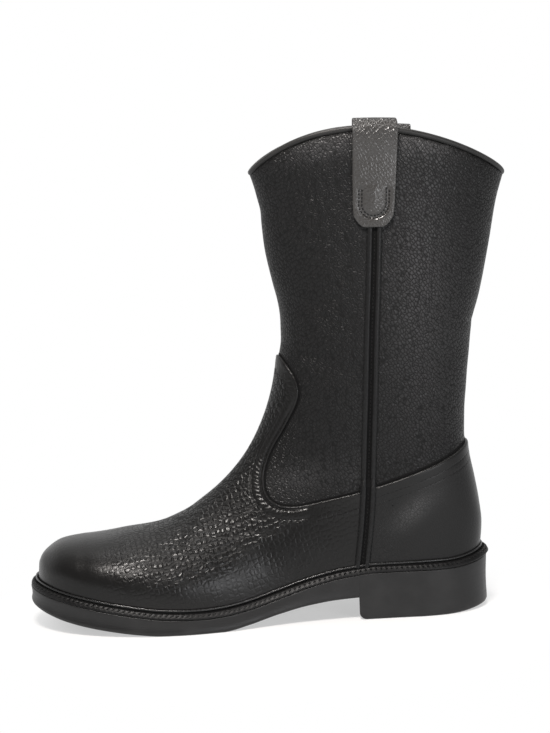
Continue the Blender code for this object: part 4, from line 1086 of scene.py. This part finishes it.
def add_stitches(name, rows, material=thread):
    """One piece of thread from rows of stitches."""
    patches = [patch(one, (False, True)) for row in rows for one in row]
    return add_piece(name, patches, [material], closed=True)


def beside(path, side, distance, height, toward):
    """A line beside a path on the body, with its normals."""
    line, out = lay_band(path, side, np.array(((distance, height),)), toward)
    return line[:, 0], out[:, 0]


rows = []
for side in (-1, 1):
    line, out = beside(vamp_paths[side], side, VAMP_STITCH, 0.85, VAMP_MIDDLE)
    rows.append(stitch_row(line, out, *VAMP_SEWN))
add_stitches("vamp_stitching", rows)
rows = []
for side in (-1, 1):
    for distance in COUNTER_ROWS:
        line, out = beside(counter_paths[side], side, distance, 1.74, COUNTER_MIDDLE)
        rows.append(stitch_row(line, out, *COUNTER_SEWN))
add_stitches("counter_stitching", rows)
rows = []
for (label, side), path in seam_paths.items():
    base = seam_base(path, side)[:, None]
    for distance in (-SEAM_STITCH, SEAM_STITCH):
        line, out = beside(path, side, distance, 0.08, BEHIND_SEAM)
        rows.append(stitch_row(line + out * base, out, *SEAM_EDGE_SEWN))
    line, out = beside(path, side, 0.0, -0.1, BEHIND_SEAM)
    clear = np.abs(line[:, 2] - 84.0) > 4.5
    rows.append(stitch_row((line + out * base)[clear], out[clear], *SEAM_GROOVE_SEWN))
add_stitches("seam_stitching", rows)
rows = []
for side in (-1, 1):
    for reach in (HORSESHOE - HORSESHOE_HALF, HORSESHOE + HORSESHOE_HALF):
        turn = np.linspace(0.0, math.pi, 60)
        arc_x, arc_drop = -reach * np.cos(turn), HORSESHOE_TURN + reach * np.sin(turn)
        leg = np.linspace(HORSESHOE_FROM, HORSESHOE_TURN, 20)[:-1]
        drop = np.concatenate((leg, arc_drop, leg[::-1]))
        across = np.concatenate((np.full(19, -reach), arc_x, np.full(19, reach)))
        z = STRAP_TOP - drop
        ground, out = skin_point(*side_place(seam_x(z, side) + STRAP_SHIFT + across, z), side)
        line = ground + out * (STRAP_LIE + STRAP_THICK - 0.55)
        rows.append(stitch_row(line, out, *STRAP_SEWN))
add_stitches("strap_stitching", rows)
across = welt_edge - welt_body
line = welt_body + across * 0.74
line = np.column_stack((line, sole_top(line[:, 0]) + 2.75 + 5.3 * heel_turned(line[:, 0])))
tilt = np.column_stack((unit(across), np.full(len(across), 1.2)))
line, tilt = np.vstack((line, line[:1])), np.vstack((tilt, tilt[:1]))
rows = [stitch_row(line, tilt, *WELT_SEWN, WELT_SLANT)]
add_stitches("welt_stitching", rows, welt_thread)

# Camera, floor and light: the camera stands as for the photograph, a little below the collar, and
# looks slightly down. The floor is plain white paper; three softboxes and a bright wall behind it
# light the boot.
CAMERA_AT = (-75.9, -1017.2, 255.7)
FOCAL_PIXELS, FRAME_PIXELS = 1564.7, 733.0
scene = bpy.context.scene
camera = bpy.data.objects.new("camera", bpy.data.cameras.new("camera"))
scene.collection.objects.link(camera)
camera.data.sensor_width = 36.0
camera.data.lens = 36.0 * FOCAL_PIXELS / FRAME_PIXELS
camera.data.shift_y = -0.05
camera.data.clip_end = 20.0
YAW, PITCH, ROLL = math.radians(5.058), math.radians(4.082), math.radians(-1.594)
forward = np.array((math.sin(YAW) * math.cos(PITCH), math.cos(YAW) * math.cos(PITCH), -math.sin(PITCH)))
right = np.array((math.cos(YAW), -math.sin(YAW), 0.0))
up = np.cross(right, forward)
turned_right = right * math.cos(ROLL) + up * math.sin(ROLL)
turned_up = up * math.cos(ROLL) - right * math.sin(ROLL)
place = (np.array(CAMERA_AT) + ORIGIN) * 0.001
matrix = np.eye(4)
matrix[:3, 0], matrix[:3, 1], matrix[:3, 2], matrix[:3, 3] = turned_right, turned_up, -forward, place
camera.matrix_world = matrix.T.tolist()
scene.camera = camera

floor_mesh = bpy.data.meshes.new("floor")
floor_mesh.from_pydata([(-9, -9, 0), (9, -9, 0), (9, 9, 0), (-9, 9, 0)], [], [(0, 1, 2, 3)])
floor = bpy.data.objects.new("floor", floor_mesh)
scene.collection.objects.link(floor)
paper, add = new_material("paper_floor", Base_Color=(0.93, 0.93, 0.93, 1.0), Roughness=0.8)
place = add.node("ShaderNodeTexCoord", out=3)
away = add.node("ShaderNodeVectorMath", {"operation": "LENGTH"}, {0: place}, out=1)
far = away.ease(0.12, 0.2, 0.5, 1.0)
shine = add.node("ShaderNodeEmission", None, {"Strength": 1.0})
matt = Shade(paper.node_tree, paper.node_tree.nodes["Principled BSDF"].outputs[0])
mixed = add.node("ShaderNodeMixShader", None, {"Fac": far, 1: matt, 2: shine})
paper.node_tree.links.new(mixed.socket, paper.node_tree.nodes["Material Output"].inputs["Surface"])
floor_mesh.materials.append(paper)

world = bpy.data.worlds.new("studio")
scene.world = world
world.use_nodes = True
sky = Shade(world.node_tree)
seen = sky.node("ShaderNodeLightPath", out=0)
direction = sky.node("ShaderNodeTexCoord", out=0)
behind = sky.node("ShaderNodeSeparateXYZ", None, {0: direction}, out=1).ease(-0.2, 0.6, 0.07, 0.75)
strength = behind + seen * (1 - behind)
backdrop = world.node_tree.nodes["Background"]
backdrop.inputs["Color"].default_value = (1.0, 1.0, 1.0, 1.0)
world.node_tree.links.new(strength.socket, backdrop.inputs["Strength"])
scene.view_settings.view_transform = "Standard"


def softbox(name, place, aim, wide, tall, power, tint):
    """Rectangular area light at a place, turned to face a point."""
    lamp = bpy.data.objects.new(name, bpy.data.lights.new(name, "AREA"))
    lamp.data.shape = "RECTANGLE"
    lamp.data.size, lamp.data.size_y = wide, tall
    lamp.data.energy = power
    lamp.data.color = tint
    lamp.location = place
    lamp.rotation_mode = "QUATERNION"
    lamp.rotation_quaternion = (Vector(aim) - Vector(place)).to_track_quat("-Z", "Y")
    scene.collection.objects.link(lamp)


softbox("key", (-0.2, -0.65, 1.15), (-0.02, 0.0, 0.1), 0.34, 0.24, 20.0, (1.0, 0.95, 0.91))
softbox("right_window", (0.75, -1.3, 0.4), (0.02, 0.0, 0.15), 0.5, 0.5, 6.0, (0.96, 0.97, 1.0))
softbox("overhead", (0.1, 0.25, 1.5), (0.0, 0.0, 0.1), 0.9, 0.6, 7.0, (1.0, 0.98, 0.96))
